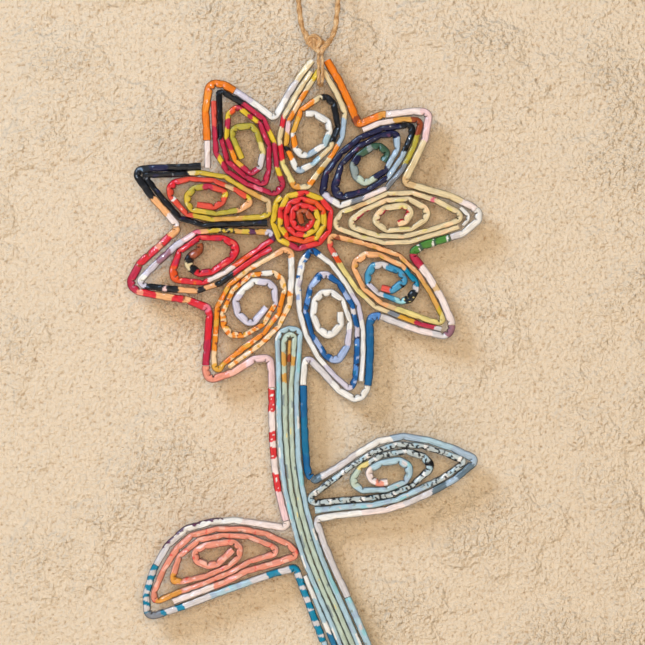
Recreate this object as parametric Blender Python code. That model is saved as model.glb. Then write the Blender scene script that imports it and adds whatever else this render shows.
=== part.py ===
"""Hanging paper flower: paper strips rolled and folded on edge, bound by an outline band, on a cord loop.

Every strip is drawn as a centre line on a drawing grid, columns to the right and rows downwards.
The lines are turned into straight runs between creases, eased apart to their thickness and swept.
The flower hangs on a wall: backs of the strips on y = 0, front towards -y, hang point at the origin.
"""
import math
import bpy
import numpy as np

MM = 0.001
GRID_STEP = 0.45 * MM       # one step of the drawing grid on the real flower
HANG_COLUMN = 318.0         # grid column above which the nail sits
HANG_ROW = -26.0            # grid row of the nail's top

PETAL_THICKNESS = 2.15 * MM   # of a folded strip where its turns press on each other
LEAF_THICKNESS = 2.35 * MM
PETAL_DEPTH = 8.0 * MM
BAND_DEPTH = 7.4 * MM
STEM_DEPTH = 8.4 * MM
COIL_DEPTH = 8.6 * MM
GLUE_GAP = 0.3 * MM         # left between strips that touch
FOLD_ROUNDING = 0.85 * MM   # radius of the folded front edges

CREASE_TURN = math.radians(36.0)   # a run ends once the line has turned this much
LONGEST_RUN = 11.0 * MM
SHORTEST_RUN = 2.1 * MM
BEND_REACH = 2.5 * MM       # within this distance a strip's own bend doesn't press on it
ROOM_STEP = 0.6 * MM        # spacing at which the room beside a strip is felt

CORD_DIAMETER = 2.6 * MM
CORD_PLANE = -5.0 * MM      # the hanging loop lies this far in front of the wall
TIE_DIAMETER = 1.7 * MM
TIE_CLEARANCE = 0.35 * MM

COLORS = {
    "crimson": (0.48, 0.03, 0.07),
    "cream": (0.75, 0.60, 0.38),
    "navy": (0.03, 0.03, 0.08),
    "peach": (0.83, 0.42, 0.18),
    "blue": (0.03, 0.12, 0.38),
    "orange": (0.85, 0.32, 0.04),
    "red": (0.68, 0.03, 0.05),
    "black": (0.02, 0.02, 0.02),
    "white": (0.75, 0.71, 0.68),
    "brown": (0.38, 0.10, 0.03),
    "pink": (0.80, 0.58, 0.55),
    "green": (0.08, 0.22, 0.04),
    "pale_blue": (0.43, 0.60, 0.66),
    "pale_green": (0.52, 0.62, 0.42),
    "grey": (0.50, 0.53, 0.55),
    "salmon": (0.80, 0.30, 0.20),
    "teal": (0.02, 0.24, 0.34),
    "jute": (0.50, 0.31, 0.16),
}

# Rolled strips, each from its inner end to its outer end: name, thickness where pressed, thickness
# where it can spring open, depth, colour, grid points.
ROLLS = [
    ("center_coil", PETAL_THICKNESS, 2.8 * MM, COIL_DEPTH, "red", [
        (302.4, 226), (300.6, 219), (298.6, 211.8), (303.4, 208.9), (308.2, 213.2), (313, 219.4),
        (311.6, 226), (307, 230.8), (301, 231.8), (294.5, 229),
        (290.3, 222), (290.8, 213.5), (295.5, 206.2), (303, 203.5), (311.5, 205), (317.5, 210.5),
        (319.8, 219), (318, 228), (311.5, 235), (302.5, 237.3), (293.5, 235), (287, 229), (284.3, 220),
        (285.5, 210.5), (291, 202.8), (299.5, 198.8), (309, 199), (318, 203), (323.5, 210), (325.2, 219),
        (323.5, 228.5), (317.5, 236.5), (308.5, 241.7), (299, 242), (289.5, 238.5), (282.5, 232),
        (279, 222.5), (279, 212.5), (283, 203.5), (290, 197), (299, 194), (309, 194.2), (319, 197.5),
        (327, 204.5), (330.8, 213.5), (330.8, 224), (327, 234.5), (319.5, 241.5), (309, 246),
        (298, 246.3), (287.5, 243), (279, 236.5), (274.5, 227), (273.5, 216), (276, 205.5), (281, 197)]),
    ("top_petal", PETAL_THICKNESS, 3.2 * MM, PETAL_DEPTH, "cream", [
        (305, 113), (313, 113), (321, 117.5), (328, 122), (330.5, 130), (329, 139), (324, 147), (316, 152.5),
        (307, 156), (300, 154.5), (295, 149), (292, 141), (292, 132), (295, 123), (299, 115), (304, 108.5),
        (310, 103), (317, 98.5), (324, 97), (331, 100), (336, 107), (338.5, 116), (338.5, 127), (337, 138),
        (333, 147), (327, 153), (320, 158.5), (313, 164), (306, 168.5), (299, 170.5), (293, 165), (289, 156),
        (286.5, 146), (286, 136), (287.5, 126), (291, 117), (296, 108), (301, 99.5), (306, 91), (311, 83),
        (316, 76), (320, 70), (326, 74), (331, 82), (336, 92), (340, 101), (344.5, 111), (343.5, 121),
        (342, 131), (340.5, 141), (336.5, 149), (330, 156), (324, 163), (319, 172), (314.5, 182), (309, 188),
        (302, 190.5), (295, 187.5), (289, 180), (284.5, 170), (282, 159), (280.5, 147), (279.5, 136),
        (280, 126), (284, 117.5), (289, 108), (294, 98.5), (300, 89), (306, 79.5), (311, 72)]),
    ("crimson_petal", PETAL_THICKNESS, 2.9 * MM, 7.8 * MM, "crimson", [
        (241, 160), (238, 153), (234, 146), (231.5, 138), (232, 131), (236, 128), (243, 126), (250, 125.5),
        (256, 128), (260, 132), (262, 138), (263.5, 146), (264.5, 153), (263.5, 161), (260, 168),
        (255, 172.5), (250, 174.5), (245, 173), (240, 169), (235, 162.5), (231.5, 156), (228.5, 148),
        (226.5, 140), (226, 130), (226.5, 120), (229, 114), (233, 109.5), (238, 107.5), (243, 110),
        (248, 114), (254, 119), (259, 124.5), (263, 131), (266.5, 138), (269, 146), (270, 155), (269.5, 163),
        (268.5, 171), (267, 178), (265, 182.5), (260, 184), (254, 182), (247, 179), (240, 174.5), (233, 168),
        (227, 160), (223.5, 152), (222, 143), (220.5, 130), (220, 120), (219, 110), (218.5, 100), (219, 93),
        (224, 92.5), (230, 96), (237, 100), (243, 103.5), (249, 107.5), (255, 112), (261, 117), (265, 122),
        (268, 128.5), (271, 136), (273.5, 143), (275, 150), (275.5, 158), (276.5, 166), (278, 174),
        (281, 180), (283, 184), (281, 189), (275, 193.5), (267, 192), (258, 188.5), (251, 185.5),
        (244, 181.5), (237, 177), (230, 171), (223, 163.5), (218.5, 156), (217, 148), (216, 140),
        (215.5, 130), (215, 120), (214.5, 110), (213.5, 101)]),
    ("navy_petal", 2.3 * MM, 3.7 * MM, PETAL_DEPTH, "navy", [
        (384, 162), (388, 156), (385, 149.5), (379, 145.5), (372, 144.5), (364, 148), (357, 153.5), (353, 161),
        (352.5, 169), (356, 176.5), (361, 182), (367, 184), (374, 182), (381, 178), (387, 172.5),
        (390.5, 165), (393.5, 157), (396.5, 149), (397.5, 141), (396, 135), (390, 132.5), (382, 133),
        (374, 136), (366, 140.5), (358, 146.5), (351, 153), (345, 160), (340, 168), (336, 177), (334.5, 186),
        (337, 194), (344, 197.5), (352, 196.5), (361, 193.5), (370, 190), (378, 186.5), (385, 181.5),
        (391, 174.5), (396, 166.5), (401, 158.5), (406, 150.5), (410, 142), (412.5, 133), (411, 126.5),
        (405, 125), (398, 126), (390, 127), (382, 128.5), (374, 131.5), (366, 136), (358, 141), (350, 146.5),
        (342, 152.5), (334, 159.5), (328, 167), (324, 176), (321.5, 185), (320.5, 193), (325, 200),
        (332, 204.5), (341, 206), (351, 204.5), (361, 200.5), (371, 195.5), (380, 190.5), (388, 184.5),
        (395, 177), (401, 169), (406, 160.5), (411, 151), (415.5, 141.5), (419.5, 132), (420.5, 123.5),
        (415, 119.5), (408, 119.5), (399, 121), (390, 122.5), (381, 124.5), (372, 128), (363, 131)]),
    ("cream_petal", PETAL_THICKNESS, 3.3 * MM, 7.8 * MM, "cream", [
        (398, 227), (404, 224), (408, 218), (410.5, 212), (406, 206), (397, 204.5), (390, 206), (382, 209),
        (377, 215), (375.5, 221), (379, 226), (385, 230), (393, 231), (402, 231), (411, 229), (418, 226),
        (424, 222), (427, 216), (426, 209), (421, 204), (415, 201), (406, 198.5), (397, 198), (388, 199),
        (379, 203), (370, 206), (362, 210), (355, 215), (351, 221), (352, 227), (358, 230), (366, 233),
        (375, 235.5), (384, 236.7), (393, 237), (403, 236.5), (413, 234.5), (423, 231.5), (433, 229),
        (443, 226.5), (453, 224), (459, 221), (460.5, 216), (458, 211), (452, 208), (444, 204),
        (436, 200.5), (427, 198), (418, 195), (408, 192.5), (398, 192), (388, 193), (378, 196.5),
        (368, 201.5), (358, 205.5), (348, 209), (340, 213.5), (335, 219), (334, 225), (338, 228.5),
        (345, 230.5), (353, 234), (362, 237.5), (372, 240.5), (382, 242), (392, 243), (402, 242.5),
        (412, 241), (422, 238), (432, 235), (442, 232), (452, 229), (460, 226)]),
    ("peach_petal", PETAL_THICKNESS, 3.5 * MM, PETAL_DEPTH, "peach", [
        (380, 290.5), (387, 292), (393, 291), (399, 287), (404.5, 280.5), (402.5, 273.5), (396.5, 268.5),
        (389, 265), (381, 264), (373.5, 266), (368.5, 272), (367, 279.5), (370, 287), (377, 292.5),
        (385, 296.5), (394, 300), (402, 301.5), (409.5, 299), (415, 292.5), (416.5, 285), (414, 278),
        (409, 272), (403, 267), (396, 262.5), (389, 258.5), (381, 255.5), (373, 253.5), (365.5, 254),
        (359, 258), (354.5, 264), (354, 271), (356.5, 278), (361, 285.5), (366.5, 292.5), (373, 299),
        (381, 303.5), (390, 307), (400, 311), (410, 314.5), (420, 318), (430, 321.5), (438, 323.5),
        (443, 320), (443.5, 313), (440.5, 306), (435.5, 298.5), (430, 290.5), (425, 283), (420, 275.5),
        (414.5, 267.5), (408, 261), (400, 256), (391, 251.5), (381, 248), (370, 245.5), (359, 242),
        (348, 239), (338, 236), (331, 236), (328.5, 241), (330, 247), (333.5, 255), (338.5, 263.5),
        (345, 273), (352, 282.5), (359.5, 292), (368, 300), (377, 306.5), (387, 311), (397, 315),
        (408, 319), (420, 323.5), (431, 327.5), (441, 329.5)]),
    ("blue_petal", PETAL_THICKNESS, 3.6 * MM, 7.8 * MM, "blue", [
        (342.5, 311.5), (343, 319.5), (340, 327.5), (333.5, 333), (327, 335), (320, 331.5), (314.5, 325),
        (312.5, 317), (312, 309), (314, 300.5), (319, 294.5), (326, 291.5), (333, 292), (339, 297),
        (344.5, 303.5), (348, 311), (350, 319.5), (350.5, 328.5), (350.5, 337), (348.5, 345.5), (344, 353),
        (339, 359), (332, 360.5), (325.5, 356.5), (320.5, 350.5), (316, 343), (311.5, 335), (308.5, 326.5),
        (306.5, 317.5), (305.5, 308), (306.5, 298.5), (309.5, 289.5), (314, 281), (320, 275.5), (327, 274),
        (334, 277.5), (340.5, 283.5), (346, 291), (350, 299.5), (353.5, 309), (356, 319), (357, 329.5),
        (357.5, 341), (357.5, 352.5), (357, 364), (356, 375), (354, 384), (349.5, 388), (343.5, 386),
        (337, 380.5), (330, 373), (323.5, 365), (318, 357), (312.5, 348.5), (307.5, 339), (303.5, 329),
        (300.5, 318), (298.8, 306.5), (298.3, 295), (298.8, 283.5), (300, 272), (302, 261), (305.5, 252),
        (311.5, 247.5), (318, 250.5), (324.5, 256.5), (330.5, 263.5), (337, 272), (343.5, 281),
        (350, 290), (355.5, 299), (359.5, 309), (362, 320), (363.2, 332), (363.4, 344), (363, 356),
        (362.3, 368), (361, 381)]),
    ("orange_petal", PETAL_THICKNESS, 3.5 * MM, 7.8 * MM, "orange", [
        (269.5, 309), (263.5, 315.5), (257.5, 321.5), (250.5, 323.5), (243.5, 320.5), (238, 314),
        (235, 306.5), (235, 299), (238.5, 292), (243.5, 286), (250, 281.5), (257.5, 280), (265, 280.5),
        (272, 284), (276, 290.5), (277, 298), (276, 305.5), (273, 312.5), (268.5, 319.5), (262.5, 326),
        (255.5, 331), (248, 334.5), (240.5, 336), (232.5, 335), (226, 330.5), (222.5, 324), (222, 316),
        (224, 308), (227, 300), (230.5, 292.5), (235.5, 286), (241, 280.5), (248, 276), (255.5, 273.5),
        (263, 272), (271, 272), (278, 274.5), (283, 280), (284, 288), (283, 297), (280.5, 306),
        (277.5, 314), (273, 322), (267.5, 329), (261, 335.5), (253.5, 341.5), (246, 347), (238.5, 353),
        (231.5, 359), (225, 364.5), (219, 369.5), (214.5, 366.5), (214, 357), (215.5, 347), (216.2, 337),
        (216.4, 327), (216.7, 317), (218, 307.5), (221.5, 299), (226.5, 291), (232.5, 284), (239, 277.5),
        (246, 271.5), (253.5, 266.5), (261, 262.5), (268, 259), (275, 254), (281.5, 249.5), (288.5, 249.5),
        (292, 254), (292, 262), (291, 272), (290.5, 283), (290, 294), (288, 304), (284.5, 313.5),
        (280, 322), (274.5, 330), (267.5, 337.5), (260, 344), (252, 350), (244, 356), (236, 362),
        (228.5, 367.5)]),
    ("red_petal", PETAL_THICKNESS, 3.8 * MM, PETAL_DEPTH, "red", [
        (197, 242.5), (201, 248), (196, 253.5), (190.5, 257), (188.5, 263), (191.5, 269), (197, 273.5),
        (204, 275.5), (211, 274.5), (218, 272), (224.5, 267.5), (230, 262), (234.5, 256), (236, 249),
        (232.5, 242.5), (226, 238.5), (219, 236.8), (211, 236.5), (203.5, 238.5), (196, 241.5),
        (188.5, 245.5), (181.5, 250.5), (176.5, 257), (173.5, 264.5), (172.5, 272), (175.5, 279),
        (182, 282), (189, 283), (197, 283), (205, 282), (213, 279.5), (221, 275.5), (228.5, 270.5),
        (236, 265), (243.5, 260), (251, 254.5), (258.5, 249), (266, 244), (273, 239.5), (273, 233.5),
        (266, 231), (258, 230.5), (250, 231), (242, 231), (232, 230.5), (222, 230), (212, 229.5),
        (203, 230), (195, 233), (187.5, 237.5), (180.5, 243), (173.5, 249), (166.5, 255.5), (159, 262),
        (151.5, 268), (145, 274.5), (140.5, 281), (143.5, 286), (150, 287), (159, 288.5), (169, 289.5),
        (179, 290.5), (189, 291), (199, 290.5), (208, 288.5), (217, 284.5), (225, 279.5), (232.5, 274.5),
        (240, 269), (248, 263.5), (256, 258), (264, 252.5), (271, 248)]),
    ("black_petal", PETAL_THICKNESS, 3.2 * MM, 7.8 * MM, "black", [
        (197, 206.5), (205, 208.5), (213, 208.5), (220, 205), (224.5, 198.5), (225.5, 192), (220, 187),
        (212, 184), (204, 184), (196.5, 186.5), (190, 191.5), (187, 198.5), (189, 206), (195.5, 211),
        (204, 213.5), (214, 214.5), (224, 214.5), (234, 213), (243, 208.5), (249.5, 202.5), (247, 196),
        (240, 190.5), (231, 187), (222, 183.5), (212, 181), (202, 179), (192, 178.5), (182, 179),
        (174.5, 182), (170, 188), (170.5, 196), (175, 203.5), (181, 210), (188.5, 216), (198, 218.5),
        (209, 219), (220, 219.2), (231, 218.8), (242, 218.3), (253, 218), (264, 217), (270, 214),
        (271, 208), (268, 201), (260, 195.5), (250, 190.5), (240, 185.5), (230, 181), (220, 177),
        (210, 174.5), (199, 173.5), (188, 174), (177, 175), (165, 175.5), (153, 175.5), (145, 176.5),
        (147, 182), (153, 190), (160, 197.5), (166.5, 205), (173.5, 212), (181.5, 218.5), (190.5, 223),
        (201, 225), (212, 225), (223, 224.7), (234, 224.2), (245, 223.7), (256, 223.2), (268, 222.5)]),
    ("right_leaf", LEAF_THICKNESS, 3.5 * MM, 8.2 * MM, "grey", [
        (388, 483.5), (380, 485.5), (373, 482), (368.5, 475), (369.5, 467.5), (375, 462.5), (384, 459.5),
        (394, 458.3), (402.5, 461), (408.5, 466.5), (409.5, 474), (406.5, 481.5), (399.5, 487),
        (391, 490), (381, 491.5), (371, 491.8), (361.5, 489.5), (354.5, 484.5), (353, 477.5),
        (356.5, 471), (362.5, 465), (370.5, 459), (380, 454.5), (390, 452), (400, 450.5), (410, 450.5),
        (419, 453), (426, 458), (430, 464.5), (428, 472), (422, 478), (414, 483), (405, 488),
        (395, 492.5), (384, 496), (372, 497.8), (358, 498.6), (344, 500.2), (330, 501.8), (317, 503),
        (310.5, 499.5), (313.5, 493), (322, 486.8), (335, 478.2), (349, 469), (363, 460), (374, 453.2),
        (385, 448), (396, 445), (409, 444), (422, 446), (435, 449.8), (448, 454), (459, 457.5),
        (463.5, 461.5), (459.5, 466), (451, 472), (442, 478), (432, 483.5), (422, 488), (411, 493),
        (399, 498), (386, 502), (372, 504.5), (356, 505.8), (340, 507.2), (326, 508.8), (315, 509.8)]),
    ("left_leaf", LEAF_THICKNESS, 3.8 * MM, 8.2 * MM, "salmon", [
        (233.5, 550), (229.5, 556), (224, 561.5), (217, 565.5), (209.5, 566.5), (202, 564), (196.5, 559),
        (194.5, 552.5), (198, 546.5), (205, 543), (214, 541.2), (224, 540.8), (233, 541), (238, 545),
        (240, 551), (239, 557.5), (234.5, 563.5), (228, 568.5), (220, 572), (210, 575), (200, 577.8),
        (190, 580), (180, 581.5), (173.5, 579), (173, 572), (175.5, 563.5), (179.5, 556.5), (184.5, 551),
        (190.5, 546.5), (198, 541.5), (207, 538), (217, 535.5), (228, 534.8), (239, 535), (250, 536.8),
        (260, 539.5), (269, 544), (275.5, 549), (273, 554), (263, 557.2), (252, 560), (242, 564.2),
        (232, 569.5), (222, 575.5), (211, 580.5), (200, 584.2), (190, 588), (180, 591.5), (170, 595.5),
        (161, 600), (155, 599.5), (154.5, 592), (157.5, 583.5), (161.5, 574), (166.5, 565), (171.5, 557),
        (177, 549), (183, 541.5), (190, 536.5), (200, 533.5), (210, 531), (220, 529), (230, 528.4),
        (240, 528.8), (250, 530.3), (260, 532.3), (270, 535), (280, 539), (289, 544.5), (295, 550.5),
        (294.5, 556), (287, 558.6), (278, 561.2), (268, 564.3), (258, 567), (249, 569), (240, 573),
        (230, 578), (220, 582.5), (210, 586.5), (200, 590.2), (190, 594), (181, 597.8), (173.5, 601)]),
    ("stem_outer", PETAL_THICKNESS, 3.1 * MM, STEM_DEPTH, "pale_blue", [
        (355, 680), (347, 661), (338.4, 640), (330, 620), (321.2, 600), (312.6, 582), (306, 566),
        (300, 548), (294.8, 530), (290, 512), (285.5, 492), (282.3, 470), (280.8, 450), (279.4, 430),
        (278.8, 410), (278.8, 390), (278.4, 370), (277.8, 355), (277.2, 343), (278.5, 335.5),
        (283, 330.5), (289.5, 328.3), (296, 329.3), (300.8, 333.5), (301.2, 341), (300, 350),
        (298.5, 362), (297.2, 375), (296.6, 390), (296.6, 405), (297, 420), (297.7, 440), (298.8, 465),
        (302.3, 488), (307, 510), (312.5, 530), (319, 550), (326.5, 570), (334, 588), (343, 608),
        (352, 629), (361, 650), (373.5, 680)]),
    ("stem_inner", 2.0 * MM, 3.1 * MM, STEM_DEPTH, "pale_green", [
        (361.5, 680), (352.5, 659), (344, 640), (335.5, 621), (326.8, 600), (318.5, 582), (312, 566),
        (305.8, 548), (300.6, 530), (295.8, 512), (291.3, 492), (288.5, 470), (287, 450), (285.8, 430),
        (285.2, 410), (284.8, 390), (284.3, 370), (283.6, 355), (283.4, 344), (285.5, 336.5),
        (290, 334), (294.6, 337), (295, 345), (294, 356), (292.5, 370), (291.2, 385), (291, 405),
        (291.4, 425), (292.2, 450), (293.8, 470), (297, 490), (301.5, 511), (307, 531), (313.3, 550),
        (320.3, 570), (328, 588), (336.5, 606), (345.5, 627), (354.5, 648), (368, 680)]),
    ("stem_core", 1.3 * MM, 1.6 * MM, STEM_DEPTH, "brown", [
        (291, 340.5), (290.8, 347), (290, 354), (289, 362)]),
    ("stem_side_strip", 2.0 * MM, 2.8 * MM, STEM_DEPTH, "pale_blue", [
        (305.5, 575), (309.8, 586), (314.6, 597), (320, 609), (325.5, 622), (331.5, 636), (339, 654),
        (349.5, 680)]),
]

# Chains of the outline band.  Pieces of a chain follow each other and share one line, so each is
# parted from the next by the glue gap: name, thickness, colour, grid points.
CHAINS = [
    [
        ("band_white_short", 2.7 * MM, "white", [(206, 168), (206.2, 156), (207.5, 144.5)]),
        ("band_orange_left", 2.9 * MM, "orange", [
            (207.5, 137), (206.5, 128), (206.5, 118), (206.5, 108), (207, 98), (209, 89), (215, 84),
            (223, 85), (231, 89.5)]),
        ("band_white_dip", 2.5 * MM, "white", [
            (238, 94), (245, 98.5), (252, 103), (258.5, 107.5), (264.5, 112.5), (270, 117), (275, 117.5),
            (279.5, 112), (284, 103.5), (289, 94), (295, 84.5), (301, 75.5), (307, 67.5), (312.5, 61)]),
    ],
    [
        ("band_orange_right", 2.9 * MM, "orange", [
            (326.5, 61), (332.5, 70), (338.5, 81), (343.5, 91), (348, 101), (352, 111), (355, 120),
            (360, 125), (368, 122), (376, 118.5), (383, 116)]),
        ("band_pale_peach", 2.7 * MM, "pink", [
            (389, 115), (397, 114), (405, 113), (413, 112), (421, 111.5), (427.5, 115), (428.5, 124),
            (426, 134), (422.5, 144), (418, 154), (413, 163.5), (407.5, 172), (404.5, 180), (408.5, 185.5),
            (418, 188), (429, 190.5), (440, 193.5), (451, 197), (462, 201.5), (472, 207.5)]),
        ("band_cream_tip", 2.6 * MM, "white", [
            (478, 212.5), (477.5, 220), (471, 227), (462, 232.5), (453, 236)]),
        ("band_green", 2.9 * MM, "green", [
            (447, 238), (438, 240.8), (428, 243.5), (419, 246.5), (413, 251)]),
        ("band_pink", 2.9 * MM, "pink", [
            (412.5, 257), (417, 263), (423.5, 271.5), (430, 281.5), (436, 292), (441, 302), (446, 313),
            (449.5, 322)]),
        ("band_mauve_foot", 2.5 * MM, "crimson", [
            (451, 328.5), (447.5, 334), (437, 334.5), (425, 332), (413, 328), (401, 323.8), (391, 320),
            (383.5, 317)]),
        ("band_blue_side", 2.9 * MM, "blue", [
            (377, 315.3), (371, 317.5), (369, 324), (369.5, 333), (369.5, 345), (369.3, 358), (368.7, 371),
            (367.7, 382)]),
        ("band_white_curl", 2.5 * MM, "white", [
            (366.5, 389), (362, 396), (354, 398.5), (346.5, 395), (339, 389), (332, 381.5), (325.5, 374),
            (319.5, 366.5), (313, 360.5), (306.5, 359.5), (303, 364.5), (302.6, 372), (302.7, 381)]),
        ("band_blue_stem", 2.7 * MM, "blue", [
            (302.9, 389), (303.1, 405), (303.8, 425), (304.8, 445), (306, 463), (308.5, 475.5)]),
        ("band_right_leaf", 2.5 * MM, "white", [
            (315, 480.5), (323, 476), (333, 470.5), (344, 463.5), (356, 455.5), (368, 448), (380, 442),
            (393, 438.5), (407, 437), (421, 438.8), (434, 442.5), (447, 446.8), (459, 450.8), (468, 454.5),
            (473.5, 460), (470.5, 466.5), (463, 472.5), (454, 478.8), (444, 485), (433, 490.5),
            (420, 496.3), (406, 502), (392, 506.8), (377, 510), (361, 512), (345, 513.8), (331, 515.2),
            (321, 516.5), (316.3, 521), (318.3, 530), (322.3, 540), (326, 550), (330, 560), (334.6, 570),
            (339.5, 580.5), (345, 592)]),
        ("band_stem_foot", 3.1 * MM, "pale_blue", [
            (349.5, 602), (358, 621), (366.5, 641), (375, 661), (383, 680)]),
    ],
    [
        ("band_black_left", 2.6 * MM, "black", [
            (203, 167.5), (192, 168), (180, 168.3), (168, 168.5), (156, 168.5), (145, 169), (138.5, 172),
            (141, 179), (147, 187), (153, 195), (159.5, 203), (166, 211), (172, 218), (176.5, 224)]),
        ("band_red_left", 2.8 * MM, "red", [
            (177, 230.5), (170.5, 237), (162.5, 244), (154, 251.5), (145.5, 259), (138, 266.5),
            (133, 275), (131.5, 284), (136, 290), (144.5, 293), (155, 295), (167, 296.5), (179, 298),
            (190, 300), (200, 303), (208, 307.5), (210, 315), (209, 325), (208.5, 337), (207.7, 349),
            (206.5, 361)]),
        ("band_salmon_low", 2.8 * MM, "pink", [
            (206.3, 370.5), (209, 377), (217, 378), (226, 374.5), (234, 369.5), (242, 364.3), (251, 359.7),
            (260, 357), (268, 358.2), (272, 363.8), (272.2, 374), (272.2, 384)]),
        ("band_pink_stem", 2.6 * MM, "pink", [
            (272.2, 391), (272.3, 405), (272.6, 425), (273.4, 445), (275, 465), (277.8, 485), (281.3, 502),
            (286, 517)]),
        ("band_left_leaf", 2.5 * MM, "white", [
            (287.5, 524), (283, 528), (274, 527), (264, 525), (253, 522.8), (242, 521), (231, 520.2),
            (220, 520.5), (209, 522.7), (198, 525.5), (188, 528.5), (179, 533.5), (171.5, 541),
            (165.5, 550), (159.5, 560)]),
        ("band_teal_foot", 2.6 * MM, "teal", [
            (154, 570), (149.5, 579), (147, 590), (146.5, 601), (147.5, 611), (153, 615), (161.5, 612.8),
            (171, 610), (181, 606.5), (191, 602.8), (201, 599), (211, 595.2), (221, 591.5), (231, 587.6),
            (241, 584), (251, 580.6), (261, 577.2), (271, 573.7), (281, 570), (290, 567.3), (297, 569),
            (300.5, 577), (304, 588), (308, 600), (312.5, 612), (317, 624), (322, 637)]),
        ("band_pale_foot", 2.6 * MM, "pale_blue", [(325, 645), (331.5, 661), (339, 680)]),
    ],
    [
        ("tip_inner_fold", 1.6 * MM, "white", [
            (460, 208), (465.5, 212), (468.5, 217), (466, 222.5), (461.5, 227)]),
    ],
]

# The cord: grid column and row of its centre line, all in the plane of the loop.
LOOP_POINTS = [
    (306.8, 36.6), (304.2, 32), (302.2, 27), (300.4, 20), (299.3, 10), (298.5, 0), (298.7, -8),
    (301, -17), (306, -24.3), (312, -28), (318, -28.9), (324.5, -27.8), (331, -23.8), (335.8, -16.5),
    (337.8, -8), (337.8, 0), (337.2, 10), (336.3, 20), (334.6, 30), (332, 36.8), (329.9, 40.8)]
KNOT_CENTER = (317.0, 43.4)
KNOT_WIDTH = 9.6 * MM
KNOT_HEIGHT = 8.5 * MM
KNOT_DEPTH = 6.4 * MM
TIE_LEFT_COLUMN = 318.0
TIE_RIGHT_COLUMN = 322.6
TIE_TOP_ROW = 53.5
TIE_FRONT_ROW = 59.5
TIE_BEND_ROW = 79.0
TIE_LOW_ROW = 84.0


def grid_to_plane(points):
    """Grid points as metres across (x) and up (z) from the hang point."""
    grid = np.array(points, float)
    across = (grid[:, 0] - HANG_COLUMN) * GRID_STEP
    up = (HANG_ROW - grid[:, 1]) * GRID_STEP
    return np.stack([across, up], 1)


def smooth_line(points, pieces=12):
    """A smooth curve through the points, sampled finely (Catmull-Rom)."""
    ends = np.vstack([2 * points[0] - points[1], points, 2 * points[-1] - points[-2]])
    t = np.linspace(0, 1, pieces, endpoint=False)[:, None]
    spans = []
    for a, b, c, d in zip(ends[:-3], ends[1:-2], ends[2:-1], ends[3:]):
        spans.append(0.5 * (2 * b + (c - a) * t + (2 * a - 5 * b + 4 * c - d) * t ** 2
                            + (3 * b - a - 3 * c + d) * t ** 3))
    return np.vstack(spans + [points[-1:]])


def creased_line(points):
    """The curve as straight runs: a crease wherever it has turned enough or run far enough."""
    fine = smooth_line(points)
    steps = np.diff(fine, axis=0)
    headings = np.unwrap(np.arctan2(steps[:, 1], steps[:, 0]))
    lengths = np.linalg.norm(steps, axis=1)
    kept = [0]
    run = 0.0
    turned = 0.0
    for i in range(1, len(steps)):
        run += lengths[i - 1]
        turned += abs(headings[i] - headings[i - 1])
        if run >= SHORTEST_RUN and (turned >= CREASE_TURN or run >= LONGEST_RUN):
            kept.append(i)
            run = 0.0
            turned = 0.0
    if run + lengths[-1] < SHORTEST_RUN / 2 and len(kept) > 2:
        kept.pop()
    kept.append(len(fine) - 1)
    return fine[kept]


def ease_apart(lines, halves, rounds=260):
    """Push lines apart until each run keeps both half thicknesses and the glue gap to the others.

    lines holds the creased lines and halves the half thickness at every point of each.
    """
    points = np.vstack(lines)
    half = np.concatenate(halves)
    starts = np.cumsum([0] + [len(line) for line in lines])
    first = np.concatenate([np.arange(a, b - 1) for a, b in zip(starts[:-1], starts[1:])])
    drawn = points.copy()
    near = np.abs(np.arange(len(points))[:, None] - first[None, :] - 0.5) < 1.6
    need = half[:, None] + np.maximum(half[first], half[first + 1])[None, :] + GLUE_GAP
    for turn in range(rounds):
        a = points[first]
        run = points[first + 1] - a
        away = points[:, None, :] - a[None, :, :]
        along = np.clip((away * run).sum(2) / np.maximum((run * run).sum(1), 1e-12), 0, 1)
        away = away - along[:, :, None] * run[None, :, :]
        distance = np.linalg.norm(away, axis=2)
        short = np.where(near, 0.0, np.maximum(need - distance, 0.0))
        if turn > rounds // 2 and short.max() < 0.01 * MM:
            break
        push = 0.45 * short[:, :, None] * away / np.maximum(distance, 1e-9)[:, :, None]
        move = push.sum(1) / 2
        np.add.at(move, first, -(push * (1 - along)[:, :, None]).sum(0) / 2)
        np.add.at(move, first + 1, -(push * along[:, :, None]).sum(0) / 2)
        limit = np.maximum(np.linalg.norm(move, axis=1, keepdims=True) / (0.4 * MM), 1.0)
        points = points + move / limit
        if turn < rounds // 2:
            points = points + 0.03 * (drawn - points)
    return [points[a:b] for a, b in zip(starts[:-1], starts[1:])]


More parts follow.
